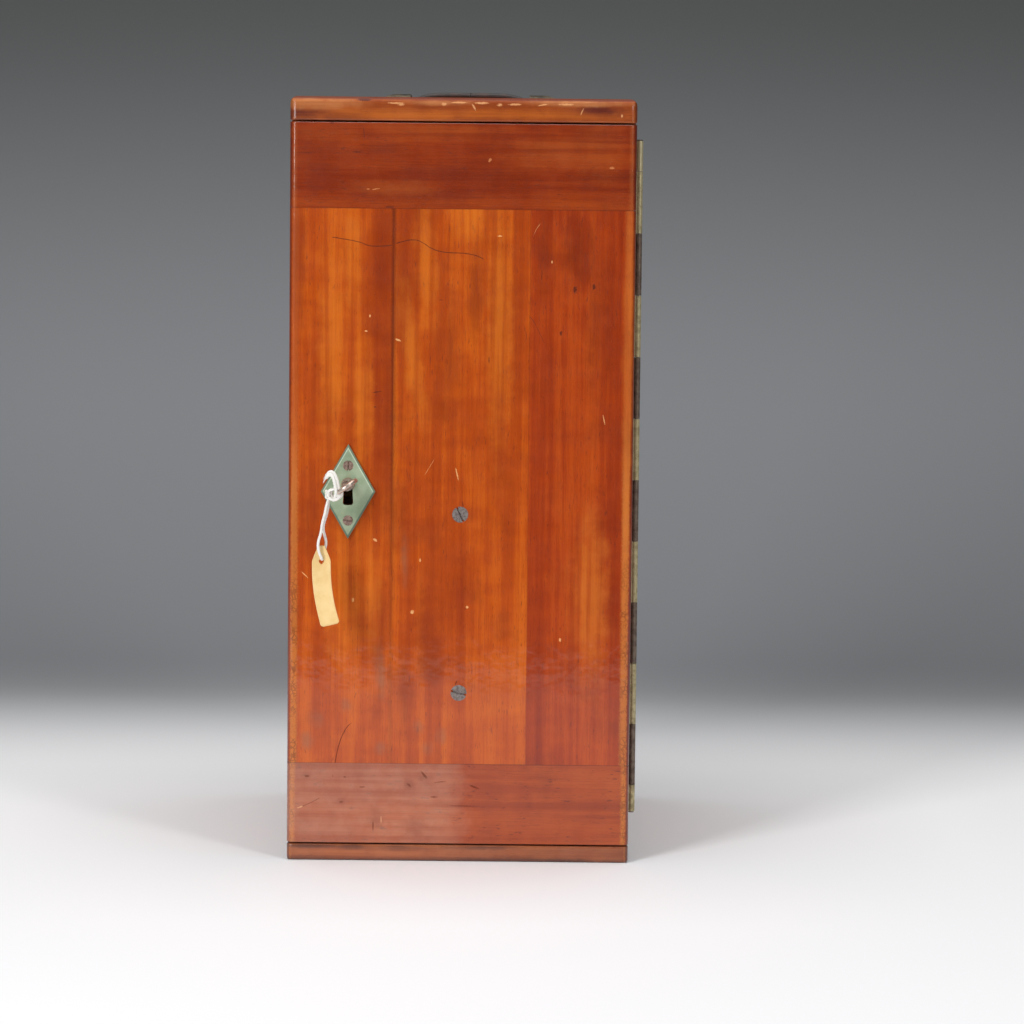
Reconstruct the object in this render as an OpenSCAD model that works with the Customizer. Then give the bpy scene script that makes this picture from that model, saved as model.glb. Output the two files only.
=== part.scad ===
// Tall upright wooden case with a side-hung door, a box lock with its key, and a strap handle.
// Lengths are in millimetres. The origin is the centre of the base's underside. The door faces
// -Y, its hinge is on the +X side, and +Z is up.

/* [Case] */
// Width over the two sides
case_w = 165; // [155:1:180]
// Depth over the door and the back
case_d = 200; // [190:1:230]
// Height over the base and the top
case_h = 366.5; // [350:0.5:400]
// Thickness of each side
side_t = 10.5; // [10:0.5:12]
// Thickness of the back panel
back_t = 8; // [6:0.5:10]
// Thickness of the top board
top_t = 11.5; // [10:0.5:14]
// Thickness of the base board
base_t = 8; // [7:0.5:11]
// Radius of the upright corners, seen from above
corner_r = 3; // [1.5:0.5:4]
// Radius of the top board's upper edges
top_edge_r = 3.8; // [2:0.2:5]
// Radius of the base board's lower edges
base_edge_r = 1.8; // [1:0.2:3]
// Thickness of the tongues on the sides
side_tongue_t = 5; // [4:0.5:6]
// Height of the tongues on the sides
side_tongue_h = 3; // [2:0.5:4]
// Depth of the rebate that holds each edge of the back
back_rebate = 5; // [4:0.5:6]
// Screws down each edge of the back
back_screws_per_side = 5; // [3:1:7]

/* [Door] */
// Thickness of the door
door_t = 11; // [10:0.5:13]
// Gap above and below the door
door_gap = 0.8; // [0.5:0.1:1.2]
// Gap between the door and the front edges of the sides
door_back_gap = 0.6; // [0.4:0.1:0.8]
// Height of the clamp across the top of the door
top_clamp_h = 40.6; // [34:0.2:48]
// Height of the clamp across the bottom of the door
bottom_clamp_h = 38.6; // [34:0.2:46]
// Width of the middle board of the door
middle_board_w = 65; // [56:1:72]
// Thickness of the tongues on the door boards
door_tongue_t = 3.6; // [3:0.2:4.4]
// Length of the tongues on the door boards
door_tongue_len = 6; // [4:0.5:8]
// Distance from a door edge to the blind end of the groove
groove_stop = 9; // [8:0.5:12]

/* [Hinge] */
// Width of each leaf
leaf_w = 9; // [8:0.5:9.5]
// Thickness of each leaf
leaf_t = 0.9; // [0.7:0.1:1.1]
// Outer radius of the barrel
barrel_r = 1.6; // [1.4:0.1:1.8]
// Radius of the pin
hinge_pin_r = 0.7; // [0.5:0.1:0.8]
// Distance from the outside of the case to the pin
barrel_offset = 1.7; // [1.7:0.1:2.2]
// Distance from the top of the door to the barrel
hinge_top_inset = 7; // [5:0.5:10]
// Distance from the bottom of the door to the barrel
hinge_bottom_inset = 15; // [10:0.5:20]
// Length of the top knuckle
first_knuckle = 14.5; // [12:0.5:20]
// Spacing of the other knuckles
knuckle_pitch = 29.6; // [24:0.2:36]
// Screws in each leaf
leaf_screws = 9; // [6:1:12]

/* [Lock] */
// Distance from the free edge of the door to the key
key_inset = 28.8; // [28:0.2:31]
// Height of the key above the table
key_z = 182; // [160:1:200]
// Width of the escutcheon
escutcheon_w = 26; // [22:1:30]
// Height of the escutcheon
escutcheon_h = 45.3; // [41:0.5:50]
// Thickness of the escutcheon
escutcheon_t = 1.6; // [1.2:0.1:2]
// Distance that the escutcheon's centre lies below the key
escutcheon_drop = 3.4; // [2.6:0.2:4]
// Width of the lock case
lock_w = 36; // [35:0.5:40]
// Height of the lock case above the key
lock_above = 25; // [24.5:0.5:30]
// Height of the lock case below the key
lock_below = 17; // [13:0.5:22]
// Depth of the lock case
lock_d = 11; // [10.6:0.2:11.4]
// Gap between the lock case and the side
lock_side_gap = 1; // [1:0.1:1.4]
// Thickness of the bolt
bolt_t = 3.2; // [2.8:0.1:3.6]
// Height of the bolt
bolt_h = 12; // [11:0.5:12.5]
// Distance that the drawn bolt lies inside the lock case
bolt_recess = 2.7; // [2.2:0.1:3.2]
// Radius that the key's bit reaches
bit_r = 6.5; // [6.3:0.1:6.6]
// Thickness of the key's bit
bit_t = 1.8; // [1.5:0.1:2]
// Radius of the key's barrel
key_barrel_r = 1.9; // [1.7:0.1:2]
// Distance from the door to the middle of the bow
bow_reach = 20; // [18:0.5:24]
// Radius to the middle of the bow's ring
bow_r = 5.4; // [5:0.1:6]
// Radius of the bow's ring section
bow_wire_r = 1.1; // [0.9:0.1:1.3]

/* [Handle] */
// Length over the two handle caps
handle_len = 90; // [84:1:110]
// Width of the leather strap
strap_w = 18; // [15:1:22]
// Thickness of the leather strap
strap_t = 3; // [2.4:0.2:3.4]
// Height of the strap's crest above the top
strap_rise = 8; // [7:0.5:12]
// Length of each cap
cap_len = 15; // [14:0.5:18]
// Width of each cap
cap_w = 24; // [23:0.5:28]
// Height of each cap
cap_h = 6.9; // [6.4:0.1:8]

/* [Rack on the door] */
// Width of the batten
batten_w = 30; // [26:1:36]
// Thickness of the batten
batten_t = 9; // [8:0.5:10]
// Height of the upper screw above the table
upper_screw_z = 168; // [160:1:176]
// Height of the lower screw above the table
lower_screw_z = 82; // [76:1:90]
// Radius of the heads of the two long screws
rack_screw_head_r = 3.85; // [3.2:0.05:4.4]
// Width of each shelf
shelf_w = 66; // [64:1:70]
// Thickness of each shelf
shelf_t = 8; // [7:0.5:10]
// Depth of each shelf in front of the batten
shelf_d = 28; // [27:0.5:29]
// Radius of the holes for the eyepieces
eyepiece_hole_r = 11.75; // [11:0.05:12]
// Radius of the holes for the objectives
objective_hole_r = 10.6; // [10:0.1:11.5]
// Distance between the two holes of a shelf
hole_spacing = 33; // [31:0.5:36]

/* [Foot rails] */
// Distance between the two rails
rail_gap = 104; // [96:1:112]
// Width of each rail
rail_w = 12; // [10:1:14]
// Height of each rail
rail_h = 14; // [10:1:18]
// Thickness of the stop at the back
stop_t = 10; // [8:1:14]

/* [Key tag] */
// Radius of the cotton string
string_r = 0.7; // [0.6:0.05:0.75]
// Width of the paper tag
tag_w = 10.5; // [10:0.5:14]
// Length of the paper tag
tag_len = 37; // [32:1:44]
// Thickness of the paper tag
tag_t = 0.5; // [0.4:0.1:0.8]

/* [Hidden] */
$fn = 64;

// Clearances
running_gap = 0.05;
seat_gap = 0.3;
cut = 1;

// Heights of the case
door_z0 = base_t + door_gap;
top_z0 = case_h - top_t;
door_z1 = top_z0 - door_gap;
door_h = door_z1 - door_z0;
field_z0 = door_z0 + bottom_clamp_h;
field_z1 = door_z1 - top_clamp_h;

// Planes of the case, from front to back
front_y = -case_d / 2;
door_back_y = front_y + door_t;
side_front_y = door_back_y + door_back_gap;
back_y = case_d / 2;
panel_y = back_y - back_t;
inner_x = case_w / 2 - side_t;

// Joints of the case
side_tongue_x = inner_x + (side_t - side_tongue_t) / 2;
side_tongue_y0 = side_front_y + 8;
side_tongue_y1 = panel_y - 4;
small_edge_r = 0.8;

// Wood screws: heads, shanks, lengths and the distance of the outer ones from the ends
plain_head_r = 2;
plain_shank_r = 1;
leaf_head_r = 1.9;
leaf_shank_r = 0.9;
lock_head_r = 1.7;
cap_head_r = 1.8;
escutcheon_head_r = 2.5;
escutcheon_shank_r = 1.1;
rack_shank_r = 1.8;
short_screw_len = 8;
cap_screw_len = 11;
back_screw_len = 16;
lock_screw_bite = 6;
back_screw_margin = 20;

// Hinge
axis_x = case_w / 2 + barrel_offset;
axis_y = (door_back_y + side_front_y) / 2;
hinge_z0 = door_z0 + hinge_bottom_inset;
hinge_z1 = door_z1 - hinge_top_inset;
hinge_len = hinge_z1 - hinge_z0;
knuckles = 1 + ceil((hinge_len - first_knuckle) / knuckle_pitch);
knuckle_gap = 0.2;
leaf_x0 = case_w / 2 - leaf_w;
leaf_x1 = axis_x - barrel_r - knuckle_gap;
leaf_screw_x = (leaf_x0 + case_w / 2) / 2;
leaf_screw_margin = 10;

// Lock, placed from the key
key_x = -case_w / 2 + key_inset;
lock_x0 = -inner_x + lock_side_gap;
lock_x1 = lock_x0 + lock_w;
lock_z0 = key_z - lock_below;
lock_z1 = key_z + lock_above;
lock_wall = 1.2;
lock_plate_t = 1.4;
lock_boss_r = 2;
lock_boss_inset = lock_boss_r + lock_wall - 0.3;
lock_inside_y = door_back_y + lock_plate_t;
lock_back_y = door_back_y + lock_d;
cap_inside_y = lock_back_y - lock_wall;
bolt_y0 = lock_inside_y + 2.4;
bolt_z0 = key_z + 4.4;
bolt_z1 = bolt_z0 + bolt_h;
bolt_x0 = lock_x0 + bolt_recess;
bolt_tail = 15;
bolt_x1 = key_x + bolt_tail;
bit_rest_angle = 35;
bolt_throw = 2 * bit_r * cos(bit_rest_angle);
talon_half_w = bit_t / 2 + 0.8;
talon_h = bit_r - 4.4 + 0.6;
stud_r = 1.2;
stud_x = key_x - 3.3;
stud_slot_r = stud_r + 0.3;
strike_window_gap = 0.6;
mortise_gap = 0.8;
mortise_depth = bolt_throw - bolt_recess - lock_side_gap + mortise_gap;
strike_t = 1.2;
strike_w = 8;
strike_h = 34;
bolt_mid_y = bolt_y0 + bolt_t / 2;
bolt_mid_z = (bolt_z0 + bolt_z1) / 2;
spring_r = 30;
spring_t = 0.8;
spring_half_w = 11.6;
spring_x = key_x + 1;
spring_z = bolt_z1 + seat_gap + spring_r;
spring_stud_angle = 20;
post_r = 1.05;
bit_len = 5.4;
bit_y0 = bolt_y0 - 0.4;
key_tip_y = cap_inside_y - 0.6;
bow_y = front_y - bow_reach;

// Keyhole through the door and the plates
keyhole_r = key_barrel_r + 0.7;
keyhole_slot_w = 4.6;
keyhole_slot_h = 10;

// Handle, which lies across the middle of the top
handle_x = 1.7;
cap_slot_gap = 0.3;
cap_slot_depth = 8.5;
strap_end_x = handle_len / 2 - cap_len + cap_slot_depth - seat_gap;
strap_flat_x = handle_len / 2 - cap_len - 0.5;
strap_z0 = case_h + seat_gap;

// Rack on the inside of the door
batten_y1 = door_back_y + batten_t;
batten_z0 = lower_screw_z - 12;
batten_z1 = upper_screw_z + 14;
eyepiece_shelf_z = upper_screw_z - 12;
objective_shelf_z = lower_screw_z + 8;
shelf_lap = 3;
shelf_corner_r = 8;
hole_y = batten_y1 + shelf_d / 2 + 0.3;

// Foot rails stand clear of the door's rack
rail_y0 = side_front_y + 34;
rail_y1 = panel_y - stop_t;

// String and tag, which hang from the lower left of the bow
knot_x = key_x - bow_r * cos(bit_rest_angle);
knot_z = key_z - bow_r * sin(bit_rest_angle);
wrap_len = 6 * string_r;
knot_r = 1.9;
knot_len = wrap_len - 1;
wrap_r = bow_wire_r + 0.9 + string_r;
string_sides = 8;
// Points of the string from the knot, down through the tag's hole and back up to the knot
STRING_ROUTE = [
    [-3.6, -0.8, -2.4], [-4.3, -0.9, -4.6], [-4.9, -0.9, -7], [-5.4, -0.9, -9.6],
    [-6.1, -1, -12.2], [-6.7, -1.1, -15], [-7, -1.4, -17.6], [-7.6, -1.8, -20.2],
    [-8.3, -2.2, -22.8], [-8.4, -2.5, -25.4], [-7.8, -2.6, -28], [-7, -2.1, -30],
    [-6.7, -0.8, -31.2], [-6.7, 0.8, -31.2], [-6.6, 2.1, -30], [-6, 2.6, -28],
    [-5.2, 2.5, -25.4], [-5, 2.2, -22.8], [-5.6, 1.8, -20.2], [-6.2, 1.4, -17.6],
    [-6.1, 1.1, -15], [-5.4, 1, -12.2], [-4.6, 0.9, -9.6], [-4.1, 0.9, -7],
    [-3.8, 0.9, -4.6], [-3.5, 0.8, -2.4]
];
tag_hole = [-6.7, 0, -32];
tag_hole_r = string_r + 0.75;
tag_hole_drop = 7.2;
tag_shoulder_w = 3.6;
tag_shoulder_h = 7;
tag_lean = 5;

// Wood and metal colours
case_colour = "#b4561e";
dark_wood_colour = "#8c3a18";
inner_wood_colour = "#9a6234";
brass_colour = "#b59a5e";
aged_brass_colour = "#5a4c30";
steel_colour = "#8d8680";

// Rectangle standing on the X axis with its own lower and upper corner radii
module round_rect(w, h, r_low, r_high) {
    translate([-w / 2, r_low])
        square([w, h - r_low - r_high]);
    translate([-w / 2 + r_low, 0])
        square([w - 2 * r_low, h - r_high]);
    translate([-w / 2 + r_high, r_low])
        square([w - 2 * r_high, h - r_low]);
    for (side = [-1, 1]) {
        translate([side * (w / 2 - r_low), r_low])
            circle(r_low);
        translate([side * (w / 2 - r_high), h - r_high])
            circle(r_high);
    }
}

// Extrudes a profile drawn in X and Z through a length along +Y
module extrude_y(length) {
    translate([0, length, 0])
        rotate([90, 0, 0])
            linear_extrude(length)
                children();
}

// Cylinder from a point along +Y
module rod_y(x, y, z, length, r) {
    translate([x, y, z])
        rotate([-90, 0, 0])
            cylinder(h = length, r = r);
}

// Box between two corners
module box(low, high) {
    translate(low)
        cube(high - low);
}

// Board that covers the whole plan, with rounded upright corners and edges
module end_board(thickness, r_low, r_high) {
    intersection() {
        translate([0, front_y, 0])
            linear_extrude(thickness)
                round_rect(case_w, case_d, corner_r, corner_r);
        translate([0, front_y - cut, 0])
            extrude_y(case_d + 2 * cut)
                round_rect(case_w, thickness, r_low, r_high);
        rotate([0, 0, 90])
            translate([0, -case_w / 2 - cut, 0])
                extrude_y(case_w + 2 * cut)
                    round_rect(case_d, thickness, r_low, r_high);
    }
}

// Tongue of one side, or its groove
module side_tongue(side, z, height) {
    x0 = side > 0 ? side_tongue_x : -side_tongue_x - side_tongue_t;
    box([x0, side_tongue_y0, z], [x0 + side_tongue_t, side_tongue_y1, z + height]);
}

module base_board() {
    color(case_colour)
        difference() {
            end_board(base_t, base_edge_r, small_edge_r);
            for (side = [-1, 1])
                side_tongue(side, base_t - side_tongue_h, side_tongue_h + cut);
        }
}

module top_board() {
    color(case_colour)
        difference() {
            translate([0, 0, top_z0])
                end_board(top_t, small_edge_r, top_edge_r);
            for (side = [-1, 1])
                side_tongue(side, top_z0 - cut, side_tongue_h + cut);
            for (side = [-1, 1])
                cap_screws_at(side, true);
        }
}

// One side board with its tongues and the rebate for the back
module side_board(side) {
    x0 = side > 0 ? inner_x : -case_w / 2;
    difference() {
        intersection() {
            box([x0, side_front_y, base_t], [x0 + side_t, back_y, top_z0]);
            translate([0, front_y, base_t - cut])
                linear_extrude(top_z0 - base_t + 2 * cut)
                    round_rect(case_w, case_d, corner_r, corner_r);
        }
        box([-inner_x - back_rebate, panel_y, base_t - cut],
            [inner_x + back_rebate, back_y + cut, top_z0 + cut]);
        back_screws_at(side, true);
    }
    side_tongue(side, base_t - side_tongue_h, side_tongue_h);
    side_tongue(side, top_z0, side_tongue_h);
}

module left_side() {
    color(case_colour)
        difference() {
            side_board(-1);
            strike_plate_blank();
            box([-inner_x - mortise_depth, bolt_y0 - mortise_gap, bolt_z0 - mortise_gap],
                [-inner_x + cut, bolt_y0 + bolt_t + mortise_gap, bolt_z1 + mortise_gap]);
            strike_screw_set(true);
        }
}

module right_side() {
    color(case_colour)
        difference() {
            side_board(1);
            leaf_plate(side_front_y, case_w / 2 + cut);
            leaf_screw_set(side_front_y, 1, true);
        }
}

module back_panel() {
    color(case_colour)
        difference() {
            box([-inner_x - back_rebate, panel_y, base_t],
                [inner_x + back_rebate, back_y, top_z0]);
            for (side = [-1, 1])
                back_screws_at(side, true);
        }
}

// Countersunk screw along +Y with its head at y = 0; the blank has no slot
module wood_screw(head_r, shank_r, length, blank) {
    difference() {
        union() {
            rotate([-90, 0, 0])
                cylinder(h = head_r - shank_r, r1 = head_r, r2 = shank_r);
            rotate([-90, 0, 0])
                cylinder(h = length, r = shank_r);
        }
        if (!blank)
            box([-head_r - cut, -cut, -head_r * 0.11], [head_r + cut, head_r * 0.24, head_r * 0.11]);
    }
}

// Screws down one edge of the back, driven through the panel into the side's rebate
module back_screws_at(side, blank) {
    step = (top_z0 - base_t - 2 * back_screw_margin) / (back_screws_per_side - 1);
    for (i = [0 : back_screws_per_side - 1])
        translate([side * (inner_x + back_rebate / 2), back_y, base_t + back_screw_margin + i * step])
            rotate([0, 25 * i, 180])
                wood_screw(plain_head_r, plain_shank_r, back_screw_len, blank);
}

module back_screws() {
    color(brass_colour)
        for (side = [-1, 1])
            back_screws_at(side, false);
}

// Rail that keeps the foot from moving sideways
module foot_rail(side) {
    color(inner_wood_colour)
        translate([side * (rail_gap + rail_w) / 2, rail_y0, base_t])
            extrude_y(rail_y1 - rail_y0)
                round_rect(rail_w, rail_h, small_edge_r, 3);
}

module foot_rail_left() {
    foot_rail(-1);
}

module foot_rail_right() {
    foot_rail(1);
}

// Stop across the back of the base, hollowed where the heel of the foot meets it
module foot_stop() {
    color(inner_wood_colour)
        difference() {
            box([-rail_gap / 2 - rail_w, rail_y1, base_t],
                [rail_gap / 2 + rail_w, panel_y, base_t + rail_h]);
            translate([0, rail_y1 - rail_gap / 2, base_t - cut])
                cylinder(h = rail_h + 2 * cut, r = rail_gap / 2 + stop_t / 2);
        }
}

// Height of the top and the bottom of one knuckle, counted from the top
function knuckle_top(i) = i == 0 ? hinge_z1 : hinge_z1 - first_knuckle - (i - 1) * knuckle_pitch;
function knuckle_bottom(i) = max(hinge_z0, hinge_z1 - first_knuckle - i * knuckle_pitch);

// Flat of a leaf, or its recess, from the inner edge to x1
module leaf_plate(y0, x1) {
    box([leaf_x0, y0, hinge_z0], [x1, y0 + leaf_t, hinge_z1]);
}

// Screws of one leaf; facing is 1 where they point along +Y
module leaf_screw_set(y, facing, blank) {
    step = (hinge_len - 2 * leaf_screw_margin) / (leaf_screws - 1);
    for (i = [0 : leaf_screws - 1])
        translate([leaf_screw_x, y, hinge_z0 + leaf_screw_margin + i * step])
            rotate([0, 35 * i, facing > 0 ? 0 : 180])
                wood_screw(leaf_head_r, leaf_shank_r, short_screw_len, blank);
}

// Leaf with every second knuckle; first is 0 for the leaf that has the top knuckle
module hinge_leaf(y0, first, facing) {
    screw_y = facing > 0 ? y0 : y0 + leaf_t;
    difference() {
        union() {
            leaf_plate(y0, leaf_x1);
            for (i = [first : 2 : knuckles - 1]) {
                z0 = knuckle_bottom(i) + (i == knuckles - 1 ? 0 : knuckle_gap / 2);
                z1 = knuckle_top(i) - (i == 0 ? 0 : knuckle_gap / 2);
                box([leaf_x1, y0, z0], [axis_x, y0 + leaf_t, z1]);
                translate([axis_x, axis_y, z0])
                    cylinder(h = z1 - z0, r = barrel_r);
            }
        }
        translate([axis_x, axis_y, hinge_z0 - cut])
            cylinder(h = hinge_len + 2 * cut, r = hinge_pin_r + running_gap);
        leaf_screw_set(screw_y, facing, true);
    }
}

module case_hinge_leaf() {
    color(brass_colour)
        hinge_leaf(side_front_y, 0, 1);
}

module door_hinge_leaf() {
    color(brass_colour)
        hinge_leaf(door_back_y - leaf_t, 1, -1);
}

// Pin with a low head at each end of the barrel
module hinge_pin() {
    head_t = 0.6;
    color(steel_colour) {
        translate([axis_x, axis_y, hinge_z0 - head_t])
            cylinder(h = hinge_len + 2 * head_t, r = hinge_pin_r);
        for (z = [hinge_z0 - head_t, hinge_z1 + running_gap])
            translate([axis_x, axis_y, z])
                cylinder(h = head_t - running_gap, r = barrel_r - 0.3);
    }
}

module case_hinge_screws() {
    color(steel_colour)
        leaf_screw_set(side_front_y, 1, false);
}

module door_hinge_screws() {
    color(steel_colour)
        leaf_screw_set(door_back_y, -1, false);
}

// Plan of the whole door, with rounded front corners
module door_plan() {
    translate([0, front_y])
        round_rect(case_w, door_t, corner_r, small_edge_r);
}

// Part of the door between two heights and two places across its width
module door_piece(x0, x1, z0, z1) {
    translate([0, 0, z0])
        linear_extrude(z1 - z0)
            intersection() {
                door_plan();
                translate([x0, front_y - cut])
                    square([x1 - x0, door_t + 2 * cut]);
            }
}

// Tongue at one end of a field board, or the groove for it
module door_tongue(x0, x1, z0, z1) {
    y0 = front_y + (door_t - door_tongue_t) / 2;
    box([x0, y0, z0], [x1, y0 + door_tongue_t, z1]);
}

// Upright board of the door's field, tongued at both ends
module field_board(x0, x1) {
    tongue_x0 = max(x0, -case_w / 2 + groove_stop + seat_gap);
    tongue_x1 = min(x1, case_w / 2 - groove_stop - seat_gap);
    door_piece(x0, x1, field_z0, field_z1);
    door_tongue(tongue_x0, tongue_x1, field_z0 - door_tongue_len, field_z0);
    door_tongue(tongue_x0, tongue_x1, field_z1, field_z1 + door_tongue_len);
}

// Clamp across the grain of the field, grooved for the tongues
module clamp(z0, z1, groove_z0, groove_z1) {
    groove_x = case_w / 2 - groove_stop;
    difference() {
        door_piece(-case_w / 2, case_w / 2, z0, z1);
        door_tongue(-groove_x, groove_x, groove_z0, groove_z1);
        leaf_plate(door_back_y - leaf_t, case_w / 2 + cut);
        leaf_screw_set(door_back_y, -1, true);
    }
}

// Round hole with a slot below it, from y along +Y
module keyhole(y, length, r, slot_w, slot_h) {
    rod_y(key_x, y, key_z, length, r);
    box([key_x - slot_w / 2, y, key_z - slot_h], [key_x + slot_w / 2, y + length, key_z]);
}

module door_board_left() {
    color(case_colour)
        difference() {
            field_board(-case_w / 2, -middle_board_w / 2);
            keyhole(front_y - cut, door_t + 2 * cut, keyhole_r, keyhole_slot_w, keyhole_slot_h);
            escutcheon_screw_set(true);
            lock_screw_set(true);
        }
}

module door_board_middle() {
    color(case_colour)
        difference() {
            field_board(-middle_board_w / 2, middle_board_w / 2);
            rack_screw_set(true);
        }
}

module door_board_right() {
    color(case_colour)
        difference() {
            field_board(middle_board_w / 2, case_w / 2);
            leaf_plate(door_back_y - leaf_t, case_w / 2 + cut);
            leaf_screw_set(door_back_y, -1, true);
        }
}

module door_top_clamp() {
    color(dark_wood_colour)
        clamp(field_z1, door_z1, field_z1 - cut, field_z1 + door_tongue_len + seat_gap);
}

module door_bottom_clamp() {
    color(dark_wood_colour)
        clamp(door_z0, field_z0, field_z0 - door_tongue_len - seat_gap, field_z0 + cut);
}

// Lozenge plate with bevelled edges over the keyhole
module escutcheon() {
    half_w = escutcheon_w / 2;
    half_h = escutcheon_h / 2;
    edge_angle = atan2(half_w, half_h);
    edge_reach = half_w * cos(edge_angle);
    bevel = 1.3;
    color("#9fb08e")
        difference() {
            translate([key_x, front_y - escutcheon_t, key_z - escutcheon_drop])
                difference() {
                    extrude_y(escutcheon_t)
                        polygon([[half_w, 0], [0, half_h], [-half_w, 0], [0, -half_h]]);
                    for (side = [0, 180], tilt = [-edge_angle, edge_angle])
                        rotate([0, side + tilt, 0])
                            translate([edge_reach - bevel, 0, -escutcheon_h])
                                rotate([0, 0, -45])
                                    translate([0, -escutcheon_t, 0])
                                        cube([2 * bevel, escutcheon_t, 2 * escutcheon_h]);
                }
            escutcheon_keyhole();
            escutcheon_screw_set(true);
        }
}

// Keyhole whose slot widens downwards to a scalloped foot
module escutcheon_keyhole() {
    foot = keyhole_slot_h - 1.4;
    translate([key_x, front_y - escutcheon_t - cut, key_z])
        extrude_y(escutcheon_t + 2 * cut) {
            circle(keyhole_r);
            polygon([[-2, 0], [2, 0], [2.5, -foot], [-2.5, -foot]]);
            for (side = [-1, 1])
                translate([side * 1.2, -foot])
                    circle(1.3);
            translate([0, -foot])
                circle(1.4);
        }
}

// Two screws that hold the escutcheon, above and below the keyhole
module escutcheon_screw_set(blank) {
    reach = escutcheon_h / 2 - 9.4;
    for (place = [[reach - 0.8, 90], [-reach - 0.6, 8]])
        translate([key_x, front_y - escutcheon_t, key_z - escutcheon_drop + place[0]])
            rotate([0, place[1], 0])
                wood_screw(escutcheon_head_r, escutcheon_shank_r, short_screw_len, blank);
}

module escutcheon_screws() {
    color(steel_colour)
        escutcheon_screw_set(false);
}

// Outline of the lock plate with its two ears
module lock_outline() {
    translate([(lock_x0 + lock_x1) / 2, lock_z0])
        round_rect(lock_w, lock_z1 - lock_z0, 1.5, 1.5);
}

// Places of the lock's four screws, in X and Z
function lock_screw_places() = [
    for (x = [lock_x0 + 4, lock_x1 - 4], z = [lock_z0 + lock_boss_inset, lock_z1 - lock_boss_inset])
        [x, z]
];

// Tray on the inside of the door that carries the works
module lock_case() {
    color(brass_colour)
        difference() {
            union() {
                difference() {
                    translate([0, door_back_y, 0])
                        extrude_y(cap_inside_y - door_back_y)
                            lock_outline();
                    box([lock_x0 + lock_wall, lock_inside_y, lock_z0 + lock_wall],
                        [lock_x1 - lock_wall, cap_inside_y + cut, lock_z1 - lock_wall]);
                }
                rod_y(stud_x, lock_inside_y - running_gap, bolt_mid_z,
                    bolt_y0 + bolt_t - lock_inside_y + 1, stud_r);
                for (place = lock_screw_places())
                    rod_y(place[0], lock_inside_y - running_gap, place[1],
                        cap_inside_y - lock_inside_y + running_gap, lock_boss_r);
                for (side = [-1, 1])
                    rod_y(spring_x + side * spring_stud_reach() * sin(spring_stud_angle),
                        lock_inside_y - running_gap,
                        spring_z - spring_stud_reach() * cos(spring_stud_angle),
                        bolt_t + 1.4, stud_r);
            }
            box([lock_x0 - cut, bolt_y0 - 0.2, bolt_z0 - 0.2],
                [lock_x0 + lock_wall + cut, bolt_y0 + bolt_t + 0.2, bolt_z1 + 0.2]);
            keyhole(door_back_y - cut, lock_plate_t + 2 * cut, key_barrel_r + 0.2, bit_t + 0.8,
                bit_r + 0.5);
            lock_screw_set(true);
        }
}

// Distance from the spring's centre to the studs that press on its ends
function spring_stud_reach() = spring_r - spring_t - stud_r - running_gap;

module lock_cap() {
    color(brass_colour)
        difference() {
            translate([0, cap_inside_y, 0])
                extrude_y(lock_wall)
                    lock_outline();
            rod_y(key_x, cap_inside_y - cut, key_z, lock_wall + 2 * cut, post_r + 0.4);
            lock_screw_set(true);
        }
}

// Bow spring that bears on the top of the bolt
module lock_spring() {
    color(steel_colour)
        intersection() {
            difference() {
                rod_y(spring_x, bolt_y0 + 0.2, spring_z, bolt_t - 0.4, spring_r);
                rod_y(spring_x, bolt_y0 - cut, spring_z, bolt_t + 2 * cut, spring_r - spring_t);
            }
            box([spring_x - spring_half_w, bolt_y0 - cut, bolt_z1],
                [spring_x + spring_half_w, bolt_y0 + bolt_t + cut, bolt_z1 + 6]);
        }
}

// Screws through the lock into the door
module lock_screw_set(blank) {
    for (place = lock_screw_places())
        translate([place[0], lock_back_y, place[1]])
            rotate([0, 4 * place[0], 180])
                wood_screw(lock_head_r, leaf_shank_r, lock_d + lock_screw_bite, blank);
}

module lock_screws() {
    color(steel_colour)
        lock_screw_set(false);
}

// Pin on the cap that the hollow key turns on
module key_post() {
    color(steel_colour) {
        rod_y(key_x, front_y + 5, key_z, cap_inside_y - front_y - 5, post_r);
        rod_y(key_x, cap_inside_y, key_z, lock_wall, post_r + 0.4);
    }
}

// Sliding bolt with the talon that the bit turns in and the slot for the stud
module lock_bolt() {
    color(steel_colour)
        difference() {
            box([bolt_x0, bolt_y0, bolt_z0], [bolt_x1, bolt_y0 + bolt_t, bolt_z1]);
            translate([key_x + bolt_throw / 2, 0, 0])
                box([-talon_half_w, bolt_y0 - cut, bolt_z0 - cut],
                    [talon_half_w, bolt_y0 + bolt_t + cut, bolt_z0 + talon_h]);
            box([stud_x, bolt_y0 - cut, bolt_mid_z - stud_slot_r],
                [stud_x + bolt_throw, bolt_y0 + bolt_t + cut, bolt_mid_z + stud_slot_r]);
            for (x = [stud_x, stud_x + bolt_throw])
                rod_y(x, bolt_y0 - cut, bolt_mid_z, bolt_t + 2 * cut, stud_slot_r);
        }
}

// Plate let into the side where the bolt enters
module strike_plate_blank() {
    box([-inner_x - strike_t, bolt_mid_y - strike_w / 2, bolt_mid_z - strike_h / 2],
        [-inner_x, bolt_mid_y + strike_w / 2, bolt_mid_z + strike_h / 2]);
}

module strike_screw_set(blank) {
    for (side = [-1, 1])
        translate([-inner_x, bolt_mid_y, bolt_mid_z + side * (strike_h / 2 - 4.5)])
            rotate([0, 60 * side, 90])
                wood_screw(plain_head_r, plain_shank_r, short_screw_len, blank);
}

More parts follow.
